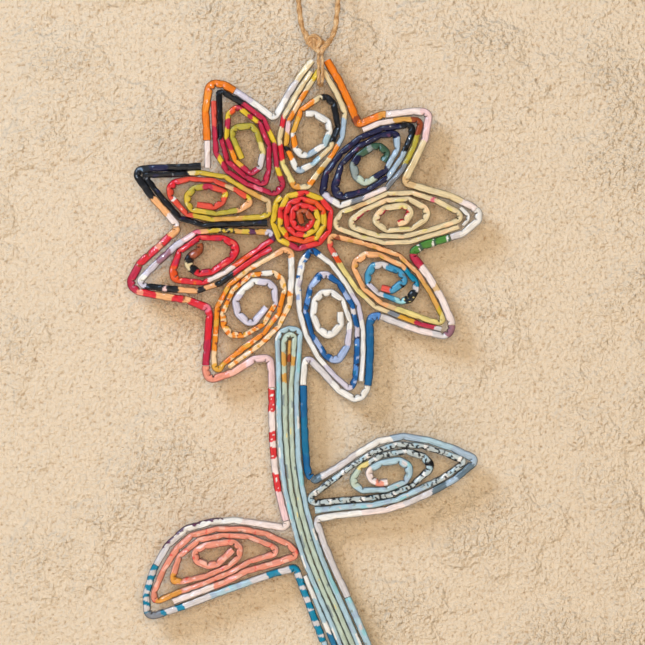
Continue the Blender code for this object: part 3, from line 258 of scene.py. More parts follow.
# %% Ink marks of the centre coil and the petals
MARKS = {
    "center_coil": [
        ("core_brown", 302.4, 226), ("coil_red", 312.4, 221), ("coil_yellow", 316.5, 209.5),
        ("coil_red", 304, 237.3), ("orange_red", 307, 198.9), ("coil_yellow", 324.5, 214),
        ("orange_red", 315, 239), ("coil_yellow", 284.5, 234), ("coil_red", 279, 219),
        ("coil_yellow", 281, 207), ("coil_red", 297.5, 194.5), ("coil_yellow", 308, 194.2),
        ("coil_red", 322, 200), ("crimson", 306, 246.3), ("coil_yellow", 289.5, 243.5)],
    "top_petal": [
        ("white", 305, 113), ("pale_blue", 329, 135), ("white", 325, 146), ("blue_grey", 317, 152),
        ("white", 307, 156), ("orange", 292, 148), ("white", 291.5, 137), ("amber", 292, 133),
        ("orange", 298, 117), ("cream", 313, 100), ("black", 322, 97.5), ("cream", 335, 144),
        ("pale_blue", 320, 158.5), ("white", 311, 165), ("blue_grey", 303, 169.5), ("white", 297, 169),
        ("orange", 290.5, 160), ("black", 287.5, 152), ("amber", 286.5, 147), ("pink", 286, 133),
        ("orange", 289, 121), ("pale_orange", 294, 112), ("orange", 300, 101), ("cream", 306, 91),
        ("yellow", 312, 81), ("cream", 321, 71), ("blue_grey", 344, 119), ("orange", 339, 146),
        ("cream", 328, 158), ("amber", 321, 166), ("cream", 318, 174), ("orange", 315, 181),
        ("cream", 311, 186), ("ginger", 300, 190), ("yellow_cream", 291, 183), ("red", 282.5, 161),
        ("cream", 280.5, 145), ("red", 280.5, 127), ("cream", 283.5, 118)],
    "crimson_petal": [
        ("mustard", 241, 160), ("olive", 235, 148), ("yellow_cream", 262, 142), ("dusty", 264, 155),
        ("crimson", 259, 169), ("amber", 240, 169), ("orange", 235, 162), ("crimson", 230, 151),
        ("yellow", 226.3, 139), ("crimson", 226, 129), ("yellow", 227, 119), ("orange_red", 230, 113),
        ("crimson", 236, 108.5), ("yellow", 242, 109.5), ("crimson", 249, 115), ("yellow", 253, 118.5),
        (RED_LIGHTS, 258, 123.5), ("black", 220.6, 139), ("crimson", 243, 103.8), ("yellow", 270.5, 131),
        ("crimson", 273.5, 143), ("yellow", 277, 168), ("crimson", 279.5, 176), ("rose", 262, 190),
        ("crimson", 254, 187), ("yellow", 222, 163), ("crimson", 219, 157), ("salmon_red", 215.4, 127)],
    "navy_petal": [
        ("dark_green", 384, 162), ("grey_green", 371, 144.8), ("dark_green", 366, 147), ("navy", 357, 153),
        ("grey_green", 353, 163), ("pale_green", 357, 178), ("navy", 377, 180.5), ("blue_grey", 389, 168.5),
        (NAVY_PRINT_AND_GLINTS, 396.5, 138), ("blue_grey", 388, 178), ("black", 405, 152.5), (NAVY_PRINT_AND_GLINTS, 400, 125.5),
        ("lavender", 322, 196), ("white", 331, 204), ("grey", 352, 204), ("pink_white", 364, 199),
        ("grey", 385, 187), ("olive", 404, 164), ("brown", 418, 136), ("ochre", 411, 119),
        ("pink_white", 393, 122)],
    "cream_petal": [
        (CREAM_PRINT, 398, 227), ("cream", 377, 216), (CREAM_PRINT, 380, 227), ("pale_orange", 390, 199),
        ("cream", 378, 201), (CREAM_PRINT, 351, 221), ("rose", 434, 200), (CREAM_PRINT, 431, 199),
        ("tan", 366, 202.5), (CREAM_PRINT, 352, 207.5)],
    "peach_petal": [
        ("salmon_red", 380, 290.5), ("azure", 389, 292.5), ("black", 400, 285.5), ("azure", 401.5, 284),
        (AZURE_PRINT, 404, 277), ("dusty", 387, 264), ("azure", 374.5, 265.5), ("lavender", 368.5, 284),
        ("dusty", 374, 290), ("azure", 383, 296), ("cyan", 395, 300.5), (YELLOW_BARS[1:], 404, 300.5),
        ("black", 412, 296), ("dusty", 415, 291), ("teal", 416.5, 286), (PEACH_PRINT, 405, 269),
        ("peach", 354, 272), ("tan", 387, 306), ("yellow_cream", 396, 309.5), ("mustard", 443, 313),
        ("ochre", 440.5, 306), (PEACH_PRINT, 425, 283), ("brown", 339.5, 236.5), ("peach", 335.5, 236),
        ("salmon_red", 329.5, 243), ("white", 333, 253.5), ("orange_red", 334.5, 257),
        ("yellow_cream", 338.5, 263.5), ("cream", 366, 298), ("grey", 389, 311.5), ("amber", 399, 315.7),
        ("crimson", 414, 321.5), ("dusty", 434, 328.5)],
    "blue_petal": [
        ("white", 342.5, 311.5), ("lavender", 350, 330), ("periwinkle", 348, 346), (BLUE_PRINT, 329, 359),
        ("periwinkle", 319, 348), ("blue", 314, 339), (BLUE_PRINT, 307, 320), ("periwinkle", 310, 289),
        ("blue", 316, 279), ("lavender", 322, 275), ("blue", 330, 275.5), ("periwinkle", 346, 291),
        ("blue", 350, 299.5), ("dusty", 353.3, 308), ("blue", 354.5, 313.5), ("lavender", 357, 327),
        (BLUE_PRINT, 357.3, 337), ("lavender", 352, 387), ("white", 324, 365.5), (WHITE_DAPPLES, 298.6, 300),
        ("blue", 304, 256), ("navy", 310, 248), ("blue", 315, 249), ("white", 321, 253),
        ("lavender", 352, 293), ("white", 362, 320)],
    "orange_petal": [
        ("lavender", 269.5, 309), ("white", 238.5, 293), ("lavender", 258, 280), (ORANGE_RINGS, 275.5, 306),
        ("white", 262, 272.3), (PALE_RINGS, 273, 272.5), (ORANGE_WIDE, 283.5, 294), ("amber", 226, 363.5),
        ("pale_orange", 214.2, 364), (ORANGE_WIDE, 215, 350), (PALE_RINGS, 236, 280.5),
        ("pale_orange", 256, 265), ("peach", 274, 254.5), ("white", 292, 258), (PALE_RINGS, 290, 292)],
    "red_petal": [
        ("brown", 197, 242.5), ("black", 191, 256.5), ("cream", 188.7, 263), ("black", 190.5, 267),
        (PETAL_RED, 196, 273), ("orange_red", 173, 266), (RED_DASHES, 182, 282), ("pink_white", 208, 281),
        ("orange_red", 234, 266.5), ("red", 252, 254), ("plum", 272, 240), ("lavender", 273.5, 235.5),
        ("ochre", 266, 231), ("plum", 256, 230.8), ("mustard", 249, 231), ("ochre", 243, 231),
        (YELLOW_BARS, 235, 230.5), ("mustard", 219, 230), ("peach", 208, 229.7), ("rose", 200, 231),
        ("pink", 194, 234), ("lavender", 183, 240.5), ("mauve", 171, 251), ("lavender", 158, 263.5),
        ("white", 145, 275), ("lavender", 141, 282), ("black", 146, 287), ("pink", 163, 289),
        ("black", 167, 289.5), ("peach", 179, 290.5), ("black", 198, 291), ("peach", 205, 289.5),
        ("black", 216, 285), ("red", 234, 274)],
    "black_petal": [
        ("brick", 197, 206.5), ("yellow", 224.5, 198), ("brick", 225, 193), ("crimson", 213, 185.5),
        ("olive", 203, 184), ("mustard", 190, 192), ("olive", 206, 214), ("peach", 238, 211.5),
        ("yellow", 247, 201), ("brick", 247.5, 196.5), ("tan", 234, 188.5), ("brick", 226, 184.5),
        ("red", 178, 178), ("brick", 170, 188), ("white", 172, 199), (BRICK_PRINT, 174, 202),
        ("mustard", 193, 217.5), ("ochre", 214, 219), ("mustard", 243, 219), ("tan", 270, 213),
        ("ochre", 262, 196.5), ("mustard", 243, 187), ("cream", 195, 173.7), (BLACK_PRINT, 189, 174),
        ],
    "right_leaf": [
        ("pink_white", 388, 483.5), ("salmon", 383, 485.5), ("pink_white", 375, 483),
        ("pale_blue", 370, 467), (MARBLE, 402, 460.5), ("pale_blue", 384, 491), ("pale_green", 357, 487),
        ("yellow_cream", 358, 469), (PLAIN_BARS, 368, 460.5), ("black", 428, 461),
        (PLAIN_BARS, 430, 466), (MARBLE, 424, 487)],
    "left_leaf": [
        (SALMON_PRINT, 233.5, 550), ("ginger", 181, 581.5), (SALMON_PRINT, 173, 572),
        ("ginger", 181, 591), (SALMON_PRINT, 156, 600), ("pink_white", 214, 585)],
    "stem_outer": [(STEM_PALE, 355, 680)],
    "stem_inner": [(STEM_GREEN, 361.5, 680), ("ochre", 284.6, 382), ("pale_green", 284, 374),
                   ("ochre", 284, 366), ("pale_green", 283.7, 352), ("ochre", 292, 356),
                   (STEM_GREEN, 292, 366)],
    "stem_core": [("ochre", 291, 340.5), ("brown", 290, 354)],
    "stem_side_strip": [("white", 305.5, 575), ("pale_blue", 315, 598), ("white", 325, 621),
                        ("teal_blue", 330, 633), ("pale_blue", 335, 645)],
}
print(len(MARKS), "painted rolls")

# %% Ink marks of the outline band
MARKS.update({
    "band_white_short": [("pink_white", 206, 168)],
    "band_orange_left": [("outline_orange", 207.5, 137), ("orange", 206.5, 112), ("outline_orange", 208, 92)],
    "band_white_dip": [("lavender", 236, 92), ("white", 252, 103), ("dusty", 286, 99), ("cream", 297, 81)],
    "band_orange_right": [("outline_orange", 326.5, 61), ("brown", 354, 118), ("outline_orange", 357, 123),
                          ("ginger", 378, 118)],
    "band_pale_peach": [("pink_white", 389, 115), ("pink", 420, 111.5), ("cream", 424, 141),
                        ("tan", 405, 178), ("cream", 415, 187.5), ("pink_white", 462, 201.5)],
    "band_cream_tip": [("white", 478, 212.5), ("dusty", 460, 233)],
    "band_green": [([("green", 2.6), ("dark_green", 1.2), ("white", 0.7), ("green", 1.9)], 447, 238)],
    "band_pink": [("crimson", 412.5, 257), ("pink_white", 421.5, 266), ("tan", 433, 287),
                  ("pink_white", 436, 292)],
    "band_mauve_foot": [("mauve", 451, 328.5), ("dusty", 444, 332.5), ("pink_white", 432, 332),
                        ("dusty", 405, 325.5)],
    "band_blue_side": [("sky", 377, 315.3), ("side_blue", 370, 318.5)],
    "band_white_curl": [("white", 366.5, 389), ("dusty", 332, 381.5), ("lavender", 312, 361),
                        ("white", 306, 359)],
    "band_blue_stem": [("side_blue", 302.9, 389), ("teal_blue", 303.5, 418), ("side_blue", 305.5, 455)],
    "band_right_leaf": [("slate", 315, 480.5), ("dusty", 322, 477), ("white", 356, 455.5),
                        ("blue_grey", 392, 440.5), ("pale_blue", 421, 438.8), ("blue_grey", 452, 447),
                        ("slate", 472, 463), ("blue_grey", 456, 477), ("slate", 446, 484),
                        ("dusty", 432, 491), ("pink_white", 404, 503), ("white", 361, 512),
                        ("dusty", 318, 519)],
    "band_stem_foot": [(MARBLE, 349.5, 602)],
    "band_black_left": [("black", 203, 167.5), ("navy", 168, 168.5), ("black", 150, 169),
                        ("peach", 155, 197), ("pink_white", 167, 215), ("peach", 174, 226)],
    "band_red_left": [("peach", 177, 230.5), ("red", 170.5, 237), ("brown", 163, 243.5),
                      ("salmon", 161.7, 244.7), ("red", 157, 249), ("brown", 150, 255),
                      ("red", 148.7, 256.3), ("brown", 141, 265), ("crimson", 139.8, 266.5),
                      ("salmon", 140, 288), ("red", 144, 289.5), ("peach", 156, 293.2),
                      ("red", 173, 298.5), ("brown", 183, 301.8), ("peach", 184, 302.2),
                      ("red", 189, 304), ("rose", 203, 309), ("red", 208, 312), ("crimson", 208.5, 340)],
    "band_salmon_low": [("salmon", 206.3, 370.5), ("pale_salmon", 228, 370), ("pink", 248, 367)],
    "band_pink_stem": [(RED_BLOCK, 272.2, 390), ("pink_white", 272.4, 411), (RED_BLOCKS, 272.8, 431),
                       ("pink_white", 273.2, 441), (RED_BLOCKS, 273.6, 447), ("pink_white", 274.2, 458),
                       (RED_BLOCK, 276.5, 473), ("pink", 278.6, 491)],
    "band_left_leaf": [("pink_white", 287.5, 524), ("white", 242, 521), ("dusty", 179, 533.5)],
    "band_teal_foot": [(SMALL_CHECKS, 154, 570), ("grey", 148, 612), ("teal", 161.5, 612.8),
                       ("dusty", 166, 611.5), ("teal", 177, 608), ("dusty", 184, 605.5),
                       (MARBLE, 211, 595), ("dusty", 251, 580.6), ("teal", 268, 574.7),
                       ("dusty", 279, 570.7), ("teal", 290, 567.3), (TEAL_CHECKS, 299, 573)],
    "band_pale_foot": [("pale_blue", 325, 645)],
    "tip_inner_fold": [("white", 460, 208)],
})
print(len(MARKS), "painted strips")

# %% [markdown]
# ## Follow a strip
#
# The centre line is sampled every half millimetre and its corners are eased a little, as paper does.
# Where the line bends the paper buckles: its inner side is pinched into a dark notch, while its outer
# side stays smooth.  Between two bends lies a flat facet with its own tilt and bulge.  A plain sweep
# without these would look like a bent pipe.

# %% Sizes of the folds
BANDS_WITH_CLOCK = ["band_orange_left", "band_white_dip", "band_orange_right", "band_pale_peach",
                    "band_cream_tip", "band_green", "band_pink", "band_mauve_foot", "band_blue_side",
                    "band_white_curl", "band_blue_stem", "band_right_leaf"]
BANDS_AGAINST_CLOCK = ["band_black_left", "band_red_left", "band_salmon_low", "band_pink_stem",
                       "band_left_leaf", "band_teal_foot"]
STEP = 0.5 * MM
LONGEST_FACET = 9.0 * MM
FULL_PINCH = math.radians(38.0)   # a bend this sharp pinches the strip as far as it goes
PINCH_REACH = 0.75 * MM
FACET_WAIST = 0.06                # how much thinner a strip is where two facets meet
PINCH_SHARE = 0.42                # a full pinch takes this much of its side
CORNER_EASE = 1
HALF_GAP = 0.20 * MM              # the paper also fills the glue gap beside each strip
BAND_SWELL = 0.45 * MM            # the outline's free outer side bulges this much
COIL_SWELL = 0.14 * MM            # the turns of the centre coil press against each other
CRIMP_DRIFT = 0.25                # of a facet's length: how far a small crimp strays
SMALL_PINCH = 0.35                # the most that a crimp without a bend pinches
FULLNESS = 0.04                   # the most that a facet is fuller or flatter, as a share
print(len(BANDS_WITH_CLOCK) + len(BANDS_AGAINST_CLOCK), "outline strips swell outwards")

# %% Find the crimps of a strip


def inner_end_first(name):
    """The line of a strip and its half thickness, turned to start where its first mark is."""
    line, half = lines[name], halves[name]
    _, column, row = MARKS[name][0]
    first = on_grid(column, row)
    if np.linalg.norm(line[-1] - first) < np.linalg.norm(line[0] - first):
        line, half = line[::-1], half[::-1]
    return line, half


def eased(values, rounds):
    """The values with each one drawn towards its neighbours."""
    values = np.array(values, float)
    for _ in range(rounds):
        values[1:-1] = (values[:-2] + 2 * values[1:-1] + values[2:]) / 4
    return values


def crimps_along(line, corners, rng):
    """Places of the crimps, and how far each pinches the right (+) or the left (-) of the strip."""
    runs = np.diff(line, axis=0)
    turns = np.diff(np.unwrap(np.arctan2(runs[:, 1], runs[:, 0])))
    places = [0.0]
    pinches = [0.0]
    for i, (a, b) in enumerate(zip(corners[:-1], corners[1:])):
        facets = max(1, math.ceil((b - a) / LONGEST_FACET))
        for k in range(1, facets):
            places.append(a + (b - a) * (k + rng.uniform(-CRIMP_DRIFT, CRIMP_DRIFT)) / facets)
            pinches.append(rng.uniform(-SMALL_PINCH, SMALL_PINCH))
        if i < len(turns):
            places.append(b)
            pinches.append(-float(np.clip(turns[i] / FULL_PINCH, -1, 1)) * rng.uniform(0.6, 1.0))
    return np.array(places + [corners[-1]]), np.array(pinches + [0.0])


coil_line, coil_half = inner_end_first("center_coil")
print("centre coil:", len(coil_line), "corners,", round(2 * float(coil_half.mean()) / MM, 2), "mm thick")

# %% Sample a strip and draw its guide


def strip_samples(name, rng):
    """Points along a strip, and by name the values that the node tree reads at each of them."""
    line, half = inner_end_first(name)
    corners = run_along(line)
    along = np.linspace(0.0, corners[-1], max(8, round(corners[-1] / STEP) + 1))
    points = eased(np.stack([np.interp(along, corners, line[:, axis]) for axis in (0, 1)], 1), CORNER_EASE)
    places, pinches = crimps_along(line, corners, rng)
    facet = np.clip(np.searchsorted(places, along, side="right") - 1, 0, len(places) - 2)
    before = along - places[facet]
    after = places[facet + 1] - along
    near = np.exp(-(np.minimum(before, after) / PINCH_REACH) ** 2)
    pinch = pinches[np.where(before < after, facet, facet + 1)] * near
    middle = np.clip(2 * np.minimum(before, after) / (before + after), 0, 1)
    full = np.array([rng.uniform(1 - FULLNESS, 1 + FULLNESS) for _ in places])
    fill = HALF_GAP + (COIL_SWELL if name == "center_coil" else 0.0)
    base = eased(np.interp(along, corners, half) + fill, 2) * eased(full[facet], 4)
    base *= 1 - FACET_WAIST * (1 - middle) ** 2
    right = base + (BAND_SWELL if name in BANDS_AGAINST_CLOCK else 0.0)
    left = base + (BAND_SWELL if name in BANDS_WITH_CLOCK else 0.0)
    values = {
        "along": along,
        "half_right": right * (1 - PINCH_SHARE * np.maximum(pinch, 0.0)),
        "half_left": left * (1 + PINCH_SHARE * np.minimum(pinch, 0.0)),
        "pinch": pinch,
        "facet_tilt": eased(np.array([rng.uniform(-1, 1) for _ in places])[facet], 1),
        "facet_lift": eased(np.array([rng.uniform(-1, 1) for _ in places])[facet], 1),
    }
    return points, values


def strip_guide(name, rng):
    """The mesh line that guides a strip, with what the node tree needs as point attributes."""
    points, values = strip_samples(name, rng)
    heading = np.gradient(points, axis=0)
    heading /= np.linalg.norm(heading, axis=1, keepdims=True)
    beside = np.stack([heading[:, 1], -heading[:, 0], np.zeros(len(points))], 1)
    mesh = bpy.data.meshes.new(name + "_guide")
    mesh.from_pydata([(p[0], p[1], 0.0) for p in points], [(i, i + 1) for i in range(len(points) - 1)], [])
    for label, numbers in values.items():
        layer = mesh.attributes.new(label, "FLOAT", "POINT")
        layer.data.foreach_set("value", numbers.astype(np.float32))
    layer = mesh.attributes.new("beside", "FLOAT_VECTOR", "POINT")
    layer.data.foreach_set("vector", beside.astype(np.float32).ravel())
    return add_object(name + "_guide", mesh), points, values["along"]


core_points, _ = strip_samples("stem_core", random.Random(0))
print(len(core_points), "points along the stem's core")

# %% [markdown]
# ## Lay the inks on a strip
#
# A mark is matched to the nearest place on the line after the mark before it.  Inks meet on a slant,
# as they do on a strip that was cut across a printed page, and a pattern may cover part of the width.
# Each vertex gets its ink as a colour attribute, because it stays with the mesh wherever that goes.

# %% Find where each ink starts
COST_OF_WAITING = 0.012   # a place counts as further away by this share of the way that is skipped
SHORTEST = 0.7            # a piece of print is at least this share of its given length
LONGEST = 1.35            # and at most this
DOUBLE_CHANCE = 0.3       # how often the next piece starts beside a piece, not after it
DOUBLE_STEP = 0.25        # and how far along that piece it then starts
WHOLE_WIDTH = (-1.1, 1.1)


def inner_side(points):
    """Which side of a rolled strip faces inwards: 1 for the right of its travel, -1 for the left."""
    steps = np.diff(points, axis=0)
    turned = np.unwrap(np.arctan2(steps[:, 1], steps[:, 0]))
    return -1.0 if turned[-1] > turned[0] else 1.0


def ink_starts(marks, points, along):
    """The distance along the strip at which each ink starts."""
    starts = []
    for _, column, row in marks:
        reached = starts[-1] if starts else 0.0
        away = np.linalg.norm(points - on_grid(column, row), axis=1)
        away += COST_OF_WAITING * np.abs(along - reached)
        away[along < reached] = np.inf
        starts.append(float(along[away.argmin()]) if starts else 0.0)
    return starts


def ink_pieces(marks, starts, end, rng):
    """Every piece of ink: where it starts and ends, the part of the width it covers, and its ink."""
    pieces = []
    for (ink, _, _), start, stop in zip(marks, starts, starts[1:] + [end]):
        if isinstance(ink, str):
            pieces.append((start, end, *WHOLE_WIDTH, ink))
            continue
        here = start
        count = rng.randrange(len(ink))
        pieces.append((start, end, *WHOLE_WIDTH, ink[0][0]))
        while here < stop:
            name, width, *part = ink[count % len(ink)]
            low, high = part or WHOLE_WIDTH
            wide = width * MM * rng.uniform(SHORTEST, LONGEST)
            pieces.append((here, here + wide if part else end, low, high, name))
            here += DOUBLE_STEP * wide if part and rng.random() < DOUBLE_CHANCE else wide
            count += 1
    return pieces


print("side of the cream petal that faces inwards:", inner_side(inner_end_first("cream_petal")[0]))

# %% Paint the surface of a strip
SLANT = 0.9               # the most, in millimetres, that a border leans over half the width
BOW = 0.35                # the most, in millimetres, that it bows
INNER_END = 1.5 * MM      # the first ink also covers the cut end


def lay_inks(strip, name, points, along, rng):
    """Write the ink colour of every vertex of a strip."""
    mesh = strip.data
    count = len(mesh.vertices)
    distance = np.empty(count, np.float32)
    across = np.empty(count, np.float32)
    mesh.attributes["along"].data.foreach_get("value", distance)
    mesh.attributes["across"].data.foreach_get("value", across)
    starts = ink_starts(MARKS[name], points, along)
    colors = np.ones((count, 4), np.float32)
    for start, stop, low, high, ink in ink_pieces(MARKS[name], starts, float(along[-1]) + 1.0, rng):
        slant = rng.uniform(-SLANT, SLANT) * MM
        bow = rng.uniform(0.0, BOW) * MM
        phase = rng.uniform(0.0, 6.3)
        shifted = distance + slant * across + bow * np.sin(3.5 * across + phase)
        covered = (shifted >= start) & (shifted < stop) & (across >= low) & (across <= high)
        if start == 0.0:
            covered |= distance < INNER_END
        colors[covered, :3] = INKS[ink]
    inwards = inner_side(points) * across
    for ink, first, last, edge, share in EDGES.get(name, []):
        _, begin, end = ink_starts([(ink, 0, 0), (ink, *first), (ink, *last)], points, along)
        ragged = share * (1 + 0.5 * np.sin(distance * 900.0) + 0.3 * np.sin(distance * 2300.0))
        covered = (distance > begin) & (distance < end) & (edge * inwards > 1 - 2 * ragged)
        colors[covered, :3] = INKS[ink]
    layer = mesh.attributes.new("paint", "FLOAT_COLOR", "POINT")
    layer.data.foreach_set("color", colors.ravel())


print("ink marks to lay:", sum(len(marks) for marks in MARKS.values()))

# %% [markdown]
# ## The folded section
#
# Seen from the front, a strip is a round fold of paper: nearly flat in the middle and turning down
# to both sides.  A curve's own round bevel can't give that shape, so the section is drawn.  It is
# drawn once, one unit to each side and one unit deep, and the node tree stretches it to each strip.

# %% Draw the section
ROUND_PART = 0.15        # share of the depth that the round front takes
FRONT_POINTS = 15
FRONT_ROUNDNESS = 2.4    # 2 is a circle, and more is flatter in the middle


def section_object():
    """The folded section as a flat curve: across and deep."""
    corners = []
    for k in range(FRONT_POINTS):
        across = -math.cos(math.pi * k / (FRONT_POINTS - 1))
        drop = 1 - (1 - min(abs(across), 1.0) ** FRONT_ROUNDNESS) ** 0.5
        corners.append((across, ROUND_PART * drop - 1.0))
    corners += [(1.0, -0.5), (1.0, 0.0), (-1.0, 0.0), (-1.0, -0.5)]
    curve = bpy.data.curves.new("folded_section", "CURVE")
    curve.dimensions = "2D"
    curve.fill_mode = "NONE"
    spline = curve.splines.new("POLY")
    spline.points.add(len(corners) - 1)
    spline.use_cyclic_u = True
    for point, (across, deep) in zip(spline.points, corners):
        point.co = (across, deep, 0.0, 1.0)
    return add_object("folded_section", curve)


section = section_object()
print(FRONT_POINTS + 4, "points in the section")

# %% [markdown]
# ## The paper
#
# The paper takes its ink from the strip.  Painted shade darkens the edges of the fold and the notches,
# beside which a few pale flecks are cracked ink and painted highlight.  The paper has the soft gloss of
# magazine paper under varnish.  All of this follows the strip's own along and across, so that grain
# and streaks run lengthwise.

# %% Helpers for node trees


def add_node(tree, kind, label, **settings):
    """A node with a label and its settings."""
    node = tree.nodes.new(kind)
    node.label = label
    for key, value in settings.items():
        setattr(node, key, value)
    return node


def add_math(tree, operation, label, *values, clamp=False):
    """A math node whose inputs are numbers or other nodes' outputs."""
    node = add_node(tree, "ShaderNodeMath", label, operation=operation, use_clamp=clamp)
    for socket, value in zip(node.inputs, values):
        if isinstance(value, (int, float)):
            socket.default_value = value
        else:
            tree.links.new(value, socket)
    return node.outputs[0]


def add_range(tree, label, value, low, high, to_low, to_high):
    """A value between low and high, carried over to a new range."""
    node = add_node(tree, "ShaderNodeMapRange", label)
    tree.links.new(value, node.inputs["Value"])
    for key, number in (("From Min", low), ("From Max", high), ("To Min", to_low), ("To Max", to_high)):
        node.inputs[key].default_value = number
    return node.outputs["Result"]


def add_noise(tree, label, vector, scale, detail):
    """Soft noise at a place, from 0 to 1."""
    node = add_node(tree, "ShaderNodeTexNoise", label)
    tree.links.new(vector, node.inputs["Vector"])
    node.inputs["Scale"].default_value = scale
    node.inputs["Detail"].default_value = detail
    return node.outputs["Fac"]


def add_attribute(tree, name):
    """What a mesh keeps under a name, for a material."""
    node = add_node(tree, "ShaderNodeAttribute", name, attribute_name=name)
    return node.outputs["Color" if name == "paint" else "Fac"]


def object_place(tree):
    """The place on the object itself, for noise that is not bound to a strip."""
    return add_node(tree, "ShaderNodeTexCoord", "object place").outputs["Object"]


def strip_place(tree, label, along, across, per_metre, per_side):
    """A strip's own place, stretched so that noise on it runs lengthwise."""
    place = add_node(tree, "ShaderNodeCombineXYZ", label)
    tree.links.new(add_math(tree, "MULTIPLY", "scale along", along, per_metre), place.inputs["X"])
    tree.links.new(add_math(tree, "MULTIPLY", "scale across", across, per_side), place.inputs["Y"])
    return place


def add_mix(tree, label, share, first, second):
    """Two colours mixed by a share.  A colour is a tuple or another node's output."""
    node = add_node(tree, "ShaderNodeMix", label, data_type="RGBA")
    for key, value in (("Factor", share), ("A", first), ("B", second)):
        if isinstance(value, tuple):
            node.inputs[key].default_value = value
        else:
            tree.links.new(value, node.inputs[key])
    return node.outputs["Result"]


def add_relief(tree, label, shader, height, strength, distance):
    """A height as relief on a shader."""
    bump = add_node(tree, "ShaderNodeBump", label)
    bump.inputs["Strength"].default_value = strength
    bump.inputs["Distance"].default_value = distance
    tree.links.new(height, bump.inputs["Height"])
    tree.links.new(bump.outputs[0], shader.inputs["Normal"])


def new_material(name):
    """A material with nodes, its tree and its shader."""
    material = bpy.data.materials.new(name)
    material.use_nodes = True
    return material, material.node_tree, material.node_tree.nodes["Principled BSDF"]


print("helpers for values, noise, colours and relief")

# %% The varnished paper material


def paper_material():
    """Printed paper with painted shade, flecks of cracked ink and painted highlight, streaks and varnish."""
    material, tree, shader = new_material("varnished_paper")
    join = tree.links.new
    ink = add_attribute(tree, "paint")
    across = add_attribute(tree, "across")
    along = add_attribute(tree, "along")
    notch = add_attribute(tree, "notch")

    # Long streaks: noise on the strip's own place, stretched along the strip.
    place = strip_place(tree, "streak place", along, across, 220.0, 2.6)
    streaks = add_noise(tree, "streaks", place.outputs[0], 1.0, 4.0)
    mottle = add_noise(tree, "mottle", object_place(tree), 800.0, 3.0)

    # Painted shade: the edges of the fold and the pinched notches are painted darker, and this painted
    # shade on the sides fades again towards the wall.
    side = add_math(tree, "ABSOLUTE", "towards a side", across)
    edge = add_range(tree, "edge of the fold", side, 0.62, 1.0, 0.0, 0.8)
    near_front = add_range(tree, "near the front", add_attribute(tree, "deep"), 0.5, 0.85, 0.3, 1.0)
    side_shade = add_math(tree, "MULTIPLY", "painted shade on the side", edge, near_front)
    # painted shade in the pinched notches
    crease = add_range(tree, "painted shade in the notches", notch, 0.14, 0.6, 0.0, 0.95)
    painted_shade = add_math(tree, "MAXIMUM", "painted_shade", side_shade, crease)
    tone = add_range(tree, "streak tone", streaks, 0.3, 0.7, 0.80, 1.16)
    unshaded = add_math(tree, "SUBTRACT", "unshaded", 1.0, painted_shade)
    shade = add_math(tree, "MULTIPLY", "tone less painted shade", tone, unshaded)
    toned = add_node(tree, "ShaderNodeVectorMath", "ink with tone", operation="SCALE")
    join(ink, toned.inputs[0])
    join(shade, toned.inputs["Scale"])

    # Pale flecks beside the notches: cracked ink that shows the paper's white, and painted highlight on the
    # crimps.
    fleck = add_range(tree, "flecks", mottle, 0.60, 0.68, 0.0, 0.7)
    cracked_and_glinting = add_math(tree, "MULTIPLY", "flecks at crimps", fleck, notch)
    flecked = add_mix(tree, "white flecks", cracked_and_glinting, toned.outputs[0], (0.80, 0.74, 0.70, 1.0))
    join(flecked, shader.inputs["Base Color"])

    join(add_range(tree, "gloss", mottle, 0.3, 0.7, 0.32, 0.5), shader.inputs["Roughness"])
    shader.inputs["Specular IOR Level"].default_value = 0.4
    shader.inputs["Coat Weight"].default_value = 0.7
    shader.inputs["Coat Roughness"].default_value = 0.08

    # Relief: lengthwise wrinkles, fine grain and the seam where the paper's edge was folded over.
    wavering = add_math(tree, "MULTIPLY_ADD", "wavering seam", streaks, 1.1, -0.25)
    seam = add_math(tree, "GREATER_THAN", "seam", across, wavering)
    place = strip_place(tree, "grain place", along, across, 160.0, 9.0)
    grain = add_noise(tree, "lengthwise grain", place.outputs[0], 1.0, 2.0)
    wrinkles = add_math(tree, "MULTIPLY_ADD", "wrinkles and seam", seam, 0.3, streaks)
    wrinkles = add_math(tree, "MULTIPLY_ADD", "wrinkles and grain", grain, 0.5, wrinkles)
    relief = add_math(tree, "MULTIPLY_ADD", "relief", mottle, 0.2, wrinkles)
    add_relief(tree, "paper relief", shader, relief, 0.8, 0.0003)
    return material


paper = paper_material()
print("material:", paper.name)

# %% [markdown]
# ## The folded strip as Geometry Nodes
#
# The tree turns a guide line into a curve, lets it wander a little, sweeps the section along it,
# pinches it at the crimps and roughens it as hand-folded paper is.  One tree serves all the strips,
# so a change in it reshapes them all, and its inputs hold what differs from strip to strip.

# %% Helpers for the strip's tree


def named_value(tree, name, kind="FLOAT"):
    """What the mesh keeps under a name, for geometry."""
    node = add_node(tree, "GeometryNodeInputNamedAttribute", name, data_type=kind)
    node.inputs["Name"].default_value = name
    return node.outputs["Attribute"]


def store_value(tree, geometry, name, value):
    """The geometry with a value kept under a name."""
    node = add_node(tree, "GeometryNodeStoreNamedAttribute", "keep " + name, data_type="FLOAT")
    node.inputs["Name"].default_value = name
    tree.links.new(geometry, node.inputs["Geometry"])
    tree.links.new(value, node.inputs["Value"])
    return node.outputs["Geometry"]


def scaled(tree, label, vector, scale):
    """A vector times a number."""
    node = add_node(tree, "ShaderNodeVectorMath", label, operation="SCALE")
    tree.links.new(vector, node.inputs[0])
    tree.links.new(scale, node.inputs["Scale"])
    return node.outputs[0]


